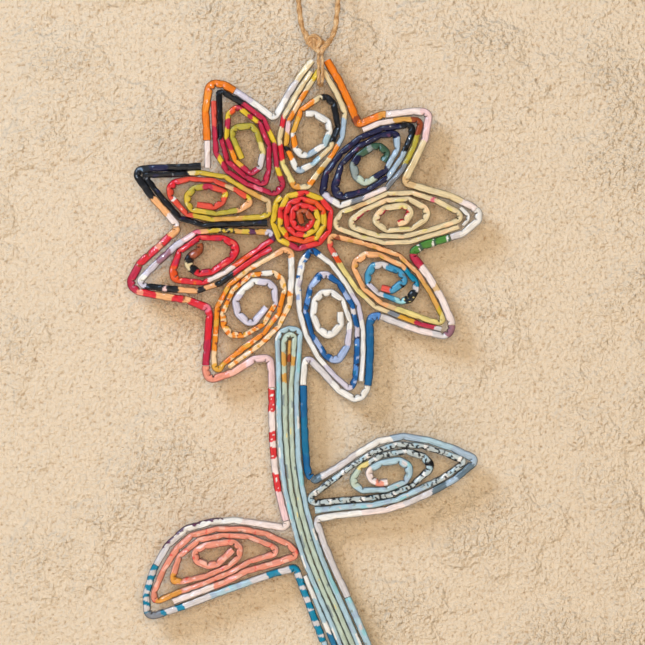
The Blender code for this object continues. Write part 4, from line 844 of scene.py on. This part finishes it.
def moved(tree, label, geometry, offset):
    """The geometry with each point moved by an offset."""
    node = add_node(tree, "GeometryNodeSetPosition", label)
    tree.links.new(geometry, node.inputs["Geometry"])
    tree.links.new(offset, node.inputs["Offset"])
    return node.outputs[0]


print("helpers for kept values and for moves")

# %% Sweep the section along its guide


def wandering_curve(tree, given):
    """The guide as a curve that wanders sideways by slow noise."""
    to_curve = add_node(tree, "GeometryNodeMeshToCurve", "guide as curve")
    tree.links.new(given["Geometry"], to_curve.inputs[0])
    upright = add_node(tree, "GeometryNodeSetCurveNormal", "section faces the front", mode="Z_UP")
    tree.links.new(to_curve.outputs[0], upright.inputs["Curve"])
    waves = add_node(tree, "ShaderNodeTexNoise", "waves", noise_dimensions="1D")
    waves.inputs["Scale"].default_value = 1.0
    slow = add_math(tree, "MULTIPLY_ADD", "slow waves", named_value(tree, "along"), 170.0, given["Seed"])
    tree.links.new(slow, waves.inputs["W"])
    centred = add_math(tree, "SUBTRACT", "centred", waves.outputs["Fac"], 0.5)
    sway = add_math(tree, "MULTIPLY", "sway", centred, given["Wander"])
    beside = named_value(tree, "beside", "FLOAT_VECTOR")
    return moved(tree, "wander", upright.outputs[0], scaled(tree, "sway sideways", beside, sway))


def swept_section(tree, given, curve):
    """The section, which keeps its places across and deep, stretched and swept along the curve."""
    join = tree.links.new
    drawn = add_node(tree, "GeometryNodeObjectInfo", "section")
    join(given["Section"], drawn.inputs["Object"])
    where = add_node(tree, "GeometryNodeInputPosition", "section place")
    parts = add_node(tree, "ShaderNodeSeparateXYZ", "across and deep")
    join(where.outputs[0], parts.inputs[0])
    kept = store_value(tree, drawn.outputs["Geometry"], "across", parts.outputs["X"])
    kept = store_value(tree, kept, "deep", add_math(tree, "MULTIPLY", "deep", parts.outputs["Y"], -1.0))
    sizes = add_node(tree, "ShaderNodeCombineXYZ", "strip sizes")
    sizes.inputs["Z"].default_value = 1.0
    join(given["Half Thickness"], sizes.inputs["X"])
    join(given["Depth"], sizes.inputs["Y"])
    stretched = add_node(tree, "GeometryNodeTransform", "stretch section")
    join(kept, stretched.inputs["Geometry"])
    join(sizes.outputs[0], stretched.inputs["Scale"])
    swept = add_node(tree, "GeometryNodeCurveToMesh", "sweep")
    swept.inputs["Fill Caps"].default_value = True
    join(curve, swept.inputs["Curve"])
    join(stretched.outputs[0], swept.inputs["Profile Curve"])
    return swept.outputs[0]


print("steps that draw the strip")

# %% Shape the sides and the front


def opened(tree, given, strip):
    """Each place moved out to the strip's own half thickness on that side."""
    across = named_value(tree, "across")
    to_right = add_math(tree, "MAXIMUM", "to the right", across, 0.0)
    to_left = add_math(tree, "MINIMUM", "to the left", across, 0.0)
    section_half = given["Half Thickness"]
    right = add_math(tree, "SUBTRACT", "more on the right", named_value(tree, "half_right"), section_half)
    left = add_math(tree, "SUBTRACT", "more on the left", named_value(tree, "half_left"), section_half)
    outwards = add_math(tree, "MULTIPLY_ADD", "both sides", to_right, right,
                        add_math(tree, "MULTIPLY", "left part", to_left, left))
    beside = named_value(tree, "beside", "FLOAT_VECTOR")
    return moved(tree, "open to the strip's width", strip, scaled(tree, "outwards", beside, outwards))


def notched(tree, strip):
    """A notch is a pinch on its own side, with a shallow crease across the rest."""
    pinch = named_value(tree, "pinch")
    side = add_math(tree, "MULTIPLY", "side", pinch, named_value(tree, "across"))
    own_side = add_math(tree, "MAXIMUM", "own side", side, 0.0)
    whole = add_math(tree, "MULTIPLY", "shallow crease", add_math(tree, "ABSOLUTE", "any side", pinch), 0.2)
    return store_value(tree, strip, "notch", add_math(tree, "MULTIPLY_ADD", "notch", own_side, 0.78, whole))


def fronted(tree, given, strip):
    """The front of each facet, tilted and lifted, and dented at its notches."""
    tilt = add_math(tree, "MULTIPLY", "tilt", named_value(tree, "facet_tilt"), given["Tilt"])
    lift = add_math(tree, "MULTIPLY", "lift", named_value(tree, "facet_lift"), given["Lift"])
    dent = add_math(tree, "MULTIPLY", "dent", named_value(tree, "notch"), given["Dent"])
    height = add_math(tree, "MULTIPLY_ADD", "tilt and lift", tilt, named_value(tree, "across"), lift)
    height = add_math(tree, "SUBTRACT", "less dent", height, dent)
    near_front = add_math(tree, "POWER", "near the front", named_value(tree, "deep"), 5.0)
    forward = add_node(tree, "ShaderNodeCombineXYZ", "forwards")
    tree.links.new(add_math(tree, "MULTIPLY", "only in front", height, near_front), forward.inputs["Z"])
    return moved(tree, "shape the front", strip, forward.outputs[0])


print("steps that open, notch and tilt the strip")

# %% Wrinkle the paper and stand it up


def wrinkled(tree, given, strip):
    """Wrinkles that run along the strip, mostly inwards."""
    along = named_value(tree, "along")
    place = strip_place(tree, "wrinkle place", along, named_value(tree, "across"), 240.0, 1.2)
    tree.links.new(given["Seed"], place.inputs["Z"])
    rough = add_noise(tree, "wrinkles", place.outputs[0], 1.0, 2.5)
    inwards = add_math(tree, "SUBTRACT", "mostly inwards", rough, 0.58)
    uneven = add_math(tree, "MULTIPLY", "wrinkle height", inwards, given["Wrinkle"])
    outward = add_node(tree, "GeometryNodeInputNormal", "outward")
    return moved(tree, "wrinkle", strip, scaled(tree, "push", outward.outputs[0], uneven))


def dressed(tree, given, strip):
    """The strip, drawn flat so far, stood up to face the front and given its paper."""
    stood = add_node(tree, "GeometryNodeTransform", "stand up")
    stood.inputs["Rotation"].default_value = (math.radians(90.0), 0.0, 0.0)
    tree.links.new(strip, stood.inputs["Geometry"])
    finished = stood.outputs[0]
    for kind in ("GeometryNodeSetShadeSmooth", "GeometryNodeRealizeInstances", "GeometryNodeSetMaterial"):
        node = add_node(tree, kind, kind.removeprefix("GeometryNode"))
        tree.links.new(finished, node.inputs["Geometry"])
        finished = node.outputs[0]
    tree.links.new(given["Paper"], node.inputs["Material"])
    return finished


print("steps that wrinkle and dress the strip")

# %% Build the node tree


def folded_strip_tree():
    """The tree with its inputs and their usual values."""
    tree = bpy.data.node_groups.new("folded_strip", "GeometryNodeTree")
    face = tree.interface
    for name, kind in (("Geometry", "Geometry"), ("Section", "Object"), ("Paper", "Material")):
        face.new_socket(name, in_out="INPUT", socket_type="NodeSocket" + kind)
    for name, value in (("Half Thickness", 1.1 * MM), ("Depth", 8.0 * MM), ("Wander", 0.12 * MM),
                        ("Tilt", 0.66 * MM), ("Lift", 0.24 * MM), ("Dent", 1.5 * MM),
                        ("Wrinkle", 0.50 * MM), ("Seed", 0.0)):
        socket = face.new_socket(name, in_out="INPUT", socket_type="NodeSocketFloat")
        socket.default_value = value
    face.new_socket("Geometry", in_out="OUTPUT", socket_type="NodeSocketGeometry")
    given = add_node(tree, "NodeGroupInput", "inputs").outputs
    strip = swept_section(tree, given, wandering_curve(tree, given))
    strip = notched(tree, opened(tree, given, strip))
    strip = wrinkled(tree, given, fronted(tree, given, strip))
    result = add_node(tree, "NodeGroupOutput", "result")
    tree.links.new(dressed(tree, given, strip), result.inputs["Geometry"])
    return tree


strip_tree = folded_strip_tree()
print(len(strip_tree.nodes), "nodes in", strip_tree.name)

# %% [markdown]
# ## Make every strip
#
# Each guide gets the tree as a modifier, its own sizes and seed, and is turned into a plain mesh
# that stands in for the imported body.

# %% Sweep the strips


def set_inputs(modifier, **values):
    """Set a node modifier's inputs by name."""
    for item in modifier.node_group.interface.items_tree:
        key = item.name.replace(" ", "_").lower()
        if item.in_out == "INPUT" and key in values:
            modifier[item.identifier] = values[key]


def plain_mesh(holder, name):
    """The evaluated shape of an object as a plain mesh object, with the object itself removed."""
    bpy.context.view_layer.update()
    evaluated = holder.evaluated_get(bpy.context.evaluated_depsgraph_get())
    mesh = bpy.data.meshes.new_from_object(evaluated)
    mesh.name = name
    bpy.data.objects.remove(holder)
    return add_object(name, mesh)


FRONT_ROOM = 0.45 * MM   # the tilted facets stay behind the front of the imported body
triangles = 0
for index, name in enumerate(STRIPS):
    rng = random.Random(name)
    guide, points, along = strip_guide(name, rng)
    low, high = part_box(name)
    modifier = guide.modifiers.new("folded_strip", "NODES")
    modifier.node_group = strip_tree
    set_inputs(modifier, section=section, paper=paper, half_thickness=float(np.median(halves[name])),
               depth=float(high.y - low.y) - FRONT_ROOM, seed=float(3.7 * index))
    strip = plain_mesh(guide, name + "_folds")
    lay_inks(strip, name, points, along, rng)
    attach(strip, "root")
    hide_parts(name)
    triangles += 2 * len(strip.data.polygons)
bpy.data.objects.remove(section)
print(len(STRIPS), "strips,", triangles, "triangles")

# %% [markdown]
# ## The jute cord
#
# The cord is two plies of jute twisted about each other.  A single tube with a striped relief would
# be smooth in outline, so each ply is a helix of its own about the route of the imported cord, with a
# few loose fibres that stand off it.

# %% Routes of the cord
CORD_PLANE = -5.0 * MM
CORD_DIAMETER = 2.6 * MM
TIE_DIAMETER = 1.7 * MM
LOOP_PLACES = [
    (306.8, 36.6), (304.2, 32), (302.2, 27), (300.4, 20), (299.3, 10), (298.5, 0), (298.7, -8),
    (301, -17), (306, -24.3), (312, -28), (318, -28.9), (324.5, -27.8), (331, -23.8), (335.8, -16.5),
    (337.8, -8), (337.8, 0), (337.2, 10), (336.3, 20), (334.6, 30), (332, 36.8), (329.9, 40.8)]
LEFT_INTO_KNOT = [(312.5, 47.0), (309.8, 42.4)]
RIGHT_INTO_KNOT = [(325.6, 45.6), (322.6, 49.4)]


def smooth_route(points, spacing):
    """Points at an even spacing along a smooth curve through the given ones."""
    points = np.array(points, float)
    ends = np.vstack([2 * points[0] - points[1], points, 2 * points[-1] - points[-2]])
    t = np.linspace(0, 1, 12, endpoint=False)[:, None]
    spans = []
    for a, b, c, d in zip(ends[:-3], ends[1:-2], ends[2:-1], ends[3:]):
        spans.append(0.5 * (2 * b + (c - a) * t + (2 * a - 5 * b + 4 * c - d) * t ** 2
                            + (3 * b - a - 3 * c + d) * t ** 3))
    fine = np.vstack(spans + [points[-1:]])
    along = run_along(fine)
    at = np.linspace(0.0, along[-1], max(3, round(along[-1] / spacing) + 1))
    return np.stack([np.interp(at, along, fine[:, axis]) for axis in range(3)], 1)


def in_space(places, depths):
    """Grid places with their distances in front of the wall, in metres."""
    flat = [on_grid(column, row) for column, row in places]
    return [(p[0], y, p[1]) for p, y in zip(flat, depths)]


loop_places = LEFT_INTO_KNOT + LOOP_PLACES + RIGHT_INTO_KNOT
loop_route = smooth_route(in_space(loop_places, [CORD_PLANE] * len(loop_places)), 0.3 * MM)
TIE_PLACES = [(318.8, 49.0), (318.5, 53.5), (318.4, 59.5), (318.4, 71), (318.5, 79), (318.8, 84),
              (319.4, 85.2), (320.4, 85.6), (321.4, 85.2), (322.0, 84), (322.3, 79), (322.3, 71),
              (322.1, 59.5), (321.7, 53.5), (321.4, 49.0)]
TIE_FRONT = -9.2 * MM
TIE_DEPTHS = [-5.4 * MM, -6.8 * MM, TIE_FRONT, TIE_FRONT, TIE_FRONT + 0.3 * MM, TIE_FRONT + 3.0 * MM,
              TIE_FRONT + 4.6 * MM, TIE_FRONT + 5.7 * MM, TIE_FRONT + 4.6 * MM, TIE_FRONT + 3.0 * MM,
              TIE_FRONT + 0.3 * MM, TIE_FRONT, TIE_FRONT, -6.8 * MM, -5.4 * MM]
tie_route = smooth_route(in_space(TIE_PLACES, TIE_DEPTHS), 0.25 * MM)
print("loop", len(loop_route), "points, tie", len(tie_route))

# %% The jute material


def jute_material():
    """Straw-coloured fibre that follows each ply."""
    material, tree, shader = new_material("jute")
    join = tree.links.new
    place = add_node(tree, "ShaderNodeCombineXYZ", "place on the ply")
    for socket, name in zip("XYZ", ("ply_cos", "ply_sin", "ply_along")):
        join(add_attribute(tree, name), place.inputs[socket])
    fibres = add_noise(tree, "fibres along the ply", place.outputs[0], 3.2, 4.0)
    patches = add_noise(tree, "lighter patches", object_place(tree), 320.0, 2.0)
    mixed = add_math(tree, "MULTIPLY_ADD", "fibres and patches", patches, 0.5,
                     add_math(tree, "MULTIPLY", "fibres", fibres, 0.5))
    colors = add_node(tree, "ShaderNodeValToRGB", "straw colours")
    low, high = colors.color_ramp.elements
    low.position = 0.36
    low.color = (*linear(146, 102, 60), 1.0)
    high.position = 0.62
    high.color = (*linear(232, 198, 152), 1.0)
    middle = colors.color_ramp.elements.new(0.5)
    middle.color = (*linear(204, 158, 108), 1.0)
    join(mixed, colors.inputs["Fac"])
    join(colors.outputs["Color"], shader.inputs["Base Color"])
    shader.inputs["Roughness"].default_value = 0.8
    add_relief(tree, "fibre relief", shader, fibres, 0.8, 0.0004)
    return material


jute = jute_material()
print("material:", jute.name)

# %% Twist plies along a route
PLY_RADIUS = 0.36        # of the cord's diameter, where two plies twist about each other
LONE_RADIUS = 0.27       # of the diameter, for a frayed end of one ply
AROUND = 10              # sides of a ply


def route_frames(route):
    """Tangent, normal and side of a route at each point, with no twist of their own."""
    tangents = np.gradient(route, axis=0)
    tangents /= np.linalg.norm(tangents, axis=1, keepdims=True)
    normal = np.cross(tangents[0], (0.0, 0.0, 1.0) if abs(tangents[0][2]) < 0.9 else (1.0, 0.0, 0.0))
    normals = []
    for tangent in tangents:
        normal = normal - tangent * float(normal @ tangent)
        normal = normal / np.linalg.norm(normal)
        normals.append(normal)
    normals = np.array(normals)
    return tangents, normals, np.cross(tangents, normals)


class Fibre:
    """Gathers tubes into one mesh, with each vertex's place on its tube."""

    def __init__(self):
        self.vertices = []
        self.faces = []
        self.places = []

    def tube(self, points, radii, around, offset):
        """Add one tube along the points."""
        _, normals, sides = route_frames(points)
        along = run_along(points)
        base = len(self.vertices)
        for point, normal, side, radius, distance in zip(points, normals, sides, radii, along):
            for k in range(around):
                turn = 2 * math.pi * k / around
                out = math.cos(turn) * normal + math.sin(turn) * side
                self.vertices.append(tuple(point + radius * out))
                self.places.append((math.cos(turn), math.sin(turn), distance * 190.0 + offset))
        for i in range(len(points) - 1):
            for j in range(around):
                a = base + i * around + j
                b = base + i * around + (j + 1) % around
                self.faces.append((a, b, b + around, a + around))
        self.faces.append(tuple(base + k for k in reversed(range(around))))
        last = base + (len(points) - 1) * around
        self.faces.append(tuple(last + k for k in range(around)))

    def piece(self, name):
        """The gathered tubes as one object of jute."""
        mesh = bpy.data.meshes.new(name)
        mesh.from_pydata(self.vertices, [], self.faces)
        for index, label in enumerate(("ply_cos", "ply_sin", "ply_along")):
            layer = mesh.attributes.new(label, "FLOAT", "POINT")
            layer.data.foreach_set("value", np.array([place[index] for place in self.places], np.float32))
        mesh.materials.append(jute)
        mesh.shade_smooth()
        return add_object(name, mesh)


def twist(fibre, route, diameter, pitch, plies, loose, rng):
    """Plies twisted about the route, and loose fibres that stand off it."""
    _, normals, sides = route_frames(route)
    along = run_along(route)
    radius = diameter * (PLY_RADIUS if plies == 2 else LONE_RADIUS)
    for ply in range(plies):
        turn = 2 * math.pi * (ply / plies + along / pitch) + 0.5 * np.sin(along / (1.7 * diameter) + ply)
        outwards = np.cos(turn)[:, None] * normals + np.sin(turn)[:, None] * sides
        centre = route + (diameter / 2 - radius) * outwards
        lumps = radius * (1.0 + 0.10 * np.sin(along / (0.9 * diameter) + 2.1 * ply))
        fibre.tube(centre, lumps * np.array([rng.uniform(0.94, 1.0) for _ in along]), AROUND, 7.0 * ply)
    for _ in range(loose):
        at = rng.randrange(2, len(route) - 2)
        turn = rng.uniform(0, 2 * math.pi)
        out = math.cos(turn) * normals[at] + math.sin(turn) * sides[at]
        lean = (route[at + 1] - route[at - 1]) / np.linalg.norm(route[at + 1] - route[at - 1])
        lean = lean * rng.choice((-1, 1))
        length = rng.uniform(0.6, 1.4) * diameter
        root = route[at] + out * diameter * 0.42
        hair = [root, root + 0.4 * length * lean + 0.05 * length * out,
                root + 0.8 * length * lean + rng.uniform(0.06, 0.20) * length * out]
        fibre.tube(np.array(hair), [0.05 * MM, 0.04 * MM, 0.015 * MM], 3, 0.0)


def route_length(route):
    """The length of a route in metres."""
    return float(np.linalg.norm(np.diff(route, axis=0), axis=1).sum())


print("a ply of the loop is", round(2 * PLY_RADIUS * CORD_DIAMETER / MM, 2), "mm thick")

# %% Make the loop and the tie
LOOP_PITCH = 10.0 * MM   # one full twist of the plies
TIE_PITCH = 8.0 * MM
KNOT_PITCH = 7.0 * MM
LOOP_HAIRS = 70
TIE_HAIRS = 30
STRAND_HAIRS = 6
THINNEST_TWIST = 1.0     # millimetres: a thinner strand of the knot is one frayed ply

loop_fibre = Fibre()
twist(loop_fibre, loop_route, CORD_DIAMETER, LOOP_PITCH, 2, LOOP_HAIRS, random.Random(11))
loop = loop_fibre.piece("jute_loop")
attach(loop, "root")
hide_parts("hanging_cord")

tie_fibre = Fibre()
twist(tie_fibre, tie_route, TIE_DIAMETER, TIE_PITCH, 2, TIE_HAIRS, random.Random(12))
tie = tie_fibre.piece("jute_tie")
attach(tie, "root")
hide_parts("cord_tie")
print("loop", round(route_length(loop_route), 4), "m, tie", round(route_length(tie_route), 4), "m")

# %% [markdown]
# ## The knot
#
# The left strand passes through the knot and the right strand comes down in front of it.  A wrap
# goes over both at the top and turns down in the middle.  A true knot could be pulled tight by a
# simulation, but short strands that cross at their own depths give its look and stay where they are.

# %% Tie the knot
KNOT_STRANDS = [
    # places, distances in front of the wall in millimetres, diameter in millimetres
    ([(305.5, 34.5), (307.8, 41), (311.8, 46.0), (316.2, 49.6), (319.2, 53.0)],
     [5.0, 5.2, 5.6, 6.0, 6.4], 2.6),
    ([(329.6, 40.5), (326.8, 44.6), (323.6, 48.2), (321.4, 53.0)], [5.4, 6.0, 6.6, 6.8], 2.7),
    ([(307.5, 44.0), (308.2, 39.5), (311.5, 36.8), (315.5, 36.4), (319.0, 38.4), (319.6, 43.0),
      (317.4, 47.5)], [5.4, 6.6, 7.3, 7.5, 7.4, 7.2, 6.4], 2.1),
    ([(311.0, 41.0), (315.0, 41.6), (320.5, 42.4), (326.0, 43.6)], [4.4, 4.2, 4.2, 4.6], 2.5),
    ([(309.2, 43.6), (312.0, 40.6), (315.4, 41.0), (317.2, 45.0)], [5.6, 6.3, 6.5, 6.1], 2.5),
    ([(313.0, 38.5), (313.8, 42.5), (314.6, 47.0), (317.0, 50.5)], [6.8, 7.2, 6.9, 6.0], 1.7),
    ([(309.8, 44.6), (308.0, 47.2), (307.2, 49.6)], [5.4, 5.8, 6.0], 0.9),
    ([(311.4, 45.8), (310.4, 48.4), (310.6, 50.4)], [5.6, 6.0, 6.2], 0.7)]
knot_fibre = Fibre()
knot_rng = random.Random(13)
for places, depths, diameter in KNOT_STRANDS:
    strand = smooth_route(in_space(places, [-depth * MM for depth in depths]), 0.25 * MM)
    plies = 2 if diameter > THINNEST_TWIST else 1
    twist(knot_fibre, strand, diameter * MM, KNOT_PITCH, plies, STRAND_HAIRS, knot_rng)
knot = knot_fibre.piece("jute_knot")
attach(knot, "root")
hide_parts("cord_knot")
print(len(KNOT_STRANDS), "strands in the knot")

# %% [markdown]
# ## The studio
#
# A pale plastered wall stands just behind the flower and a pale floor lies below.  A wide cool
# light comes from the upper left and a warm one from the front, and a small one gives the varnish its
# glints.  Where the flower covers the cool light, the wall turns a warm tan, as in the photograph.
# The wall is clear from behind, and a weak fill lights the back of the flower.

# %% Wall and floor
FLOOR_BELOW = 0.75
WALL_BEHIND = 13.0 * MM


def wall_material():
    """Trowelled plaster that is seen from its front only."""
    material, tree, shader = new_material("plaster")
    join = tree.links.new
    coordinates = object_place(tree)
    grit = add_noise(tree, "fine grit", coordinates, 640.0, 2.0)
    trowel = add_noise(tree, "trowelled", coordinates, 24.0, 5.0)
    skim = add_range(tree, "edges of the skim coat", trowel, 0.50, 0.54, 0.0, 1.0)
    torn = add_range(tree, "torn patches", trowel, 0.52, 0.66, 0.12, 1.0)
    lumps = add_noise(tree, "lumps", coordinates, 380.0, 2.0)
    crumbs = add_math(tree, "MULTIPLY", "crumbs in the torn patches", lumps, torn)
    swell = add_noise(tree, "slow swell", coordinates, 75.0, 2.0)
    height = add_math(tree, "MULTIPLY_ADD", "skim and crumbs", crumbs, 1.0,
                      add_math(tree, "MULTIPLY", "skim coat", skim, 0.22))
    height = add_math(tree, "MULTIPLY_ADD", "with grit", grit, 0.5, height)
    height = add_math(tree, "MULTIPLY_ADD", "plaster height", swell, 0.5, height)
    # Painted light and shade of the grit: its low places are painted darker and its tops lighter, and the
    # small pits are painted shade.
    pale = (*linear(232, 214, 190), 1.0)
    colors = add_mix(tree, "plaster colour with painted relief light", grit, (*linear(222, 199, 169), 1.0), pale)
    pit_shade = add_range(tree, "painted shade in the pits", grit, 0.27, 0.38, 0.6, 0.0)
    pit_shaded = add_mix(tree, "colour with painted pit shade", pit_shade, colors, (*linear(176, 138, 98), 1.0))
    join(pit_shaded, shader.inputs["Base Color"])
    shader.inputs["Roughness"].default_value = 0.85
    add_relief(tree, "plaster relief", shader, height, 1.0, 0.0040)
    geometry = add_node(tree, "ShaderNodeNewGeometry", "which side")
    clear = add_node(tree, "ShaderNodeBsdfTransparent", "clear from behind")
    one_sided = add_node(tree, "ShaderNodeMixShader", "one sided")
    join(geometry.outputs["Backfacing"], one_sided.inputs["Fac"])
    join(shader.outputs[0], one_sided.inputs[1])
    join(clear.outputs[0], one_sided.inputs[2])
    join(one_sided.outputs[0], tree.nodes["Material Output"].inputs["Surface"])
    return material


def floor_material():
    """A plain pale floor."""
    material, _, shader = new_material("pale_floor")
    shader.inputs["Base Color"].default_value = (0.78, 0.74, 0.69, 1.0)
    shader.inputs["Roughness"].default_value = 0.7
    return material


def flat_sheet(name, corners, material):
    """One flat face of the studio."""
    mesh = bpy.data.meshes.new(name)
    mesh.from_pydata(corners, [], [(0, 1, 2, 3)])
    mesh.materials.append(material)
    sheet = add_object(name, mesh)
    return sheet


flat_sheet("wall", [(-1.2, WALL_BEHIND, -FLOOR_BELOW), (1.2, WALL_BEHIND, -FLOOR_BELOW),
                    (1.2, WALL_BEHIND, 1.2), (-1.2, WALL_BEHIND, 1.2)], wall_material())
flat_sheet("floor", [(-3.0, -3.0, -FLOOR_BELOW), (3.0, -3.0, -FLOOR_BELOW),
                     (3.0, 3.0, -FLOOR_BELOW), (-3.0, 3.0, -FLOOR_BELOW)], floor_material())
print("wall and floor in place")

# %% Lights and world
VIEW_CENTRE = Vector((on_grid(322.5, 322.5)[0], -0.004, on_grid(322.5, 322.5)[1]))


def area_light(name, place, size, watts, color):
    """A round soft light that points at the flower."""
    data = bpy.data.lights.new(name, "AREA")
    data.shape = "DISK"
    data.size = size
    data.energy = watts
    data.color = color
    light = add_object(name, data)
    light.location = place
    light.rotation_euler = (VIEW_CENTRE - Vector(place)).to_track_quat("-Z", "Y").to_euler()
    return light


area_light("wide_key", (-0.8, -1.25, 0.7), 0.7, 14.8, (0.44, 0.68, 1.0))
warm_front = area_light("warm_front", (0.0, -1.7, -0.1), 0.7, 19.4, (1.0, 0.84, 0.63))
warm_front.visible_glossy = False   # it fills the openings and gives no glare
area_light("glint", (-0.5, -1.1, 0.35), 0.06, 1.84, (1.0, 0.98, 0.95))
world = bpy.data.worlds.new("studio")
world.use_nodes = True
background = world.node_tree.nodes["Background"]
background.inputs["Color"].default_value = (1.0, 0.94, 0.88, 1.0)
background.inputs["Strength"].default_value = 0.14
bpy.context.scene.world = world
area_light("fill_from_behind", (0.3, 1.6, 0.2), 0.8, 7.0, (1.0, 0.98, 0.95))
print("four lights and a soft world")

# %% Camera
CAMERA_AWAY = 1.5
VIEW_WIDE = 645 * GRID_STEP

camera_data = bpy.data.cameras.new("camera")
camera_data.sensor_width = 36.0
camera_data.lens = 36.0 * CAMERA_AWAY / VIEW_WIDE
camera = add_object("camera", camera_data)
camera.location = (VIEW_CENTRE.x, VIEW_CENTRE.y - CAMERA_AWAY, VIEW_CENTRE.z)
camera.rotation_euler = (math.radians(90.0), 0.0, 0.0)
bpy.context.scene.camera = camera
bpy.context.scene.view_settings.view_transform = "Standard"
print("camera lens", round(camera_data.lens, 1), "mm")
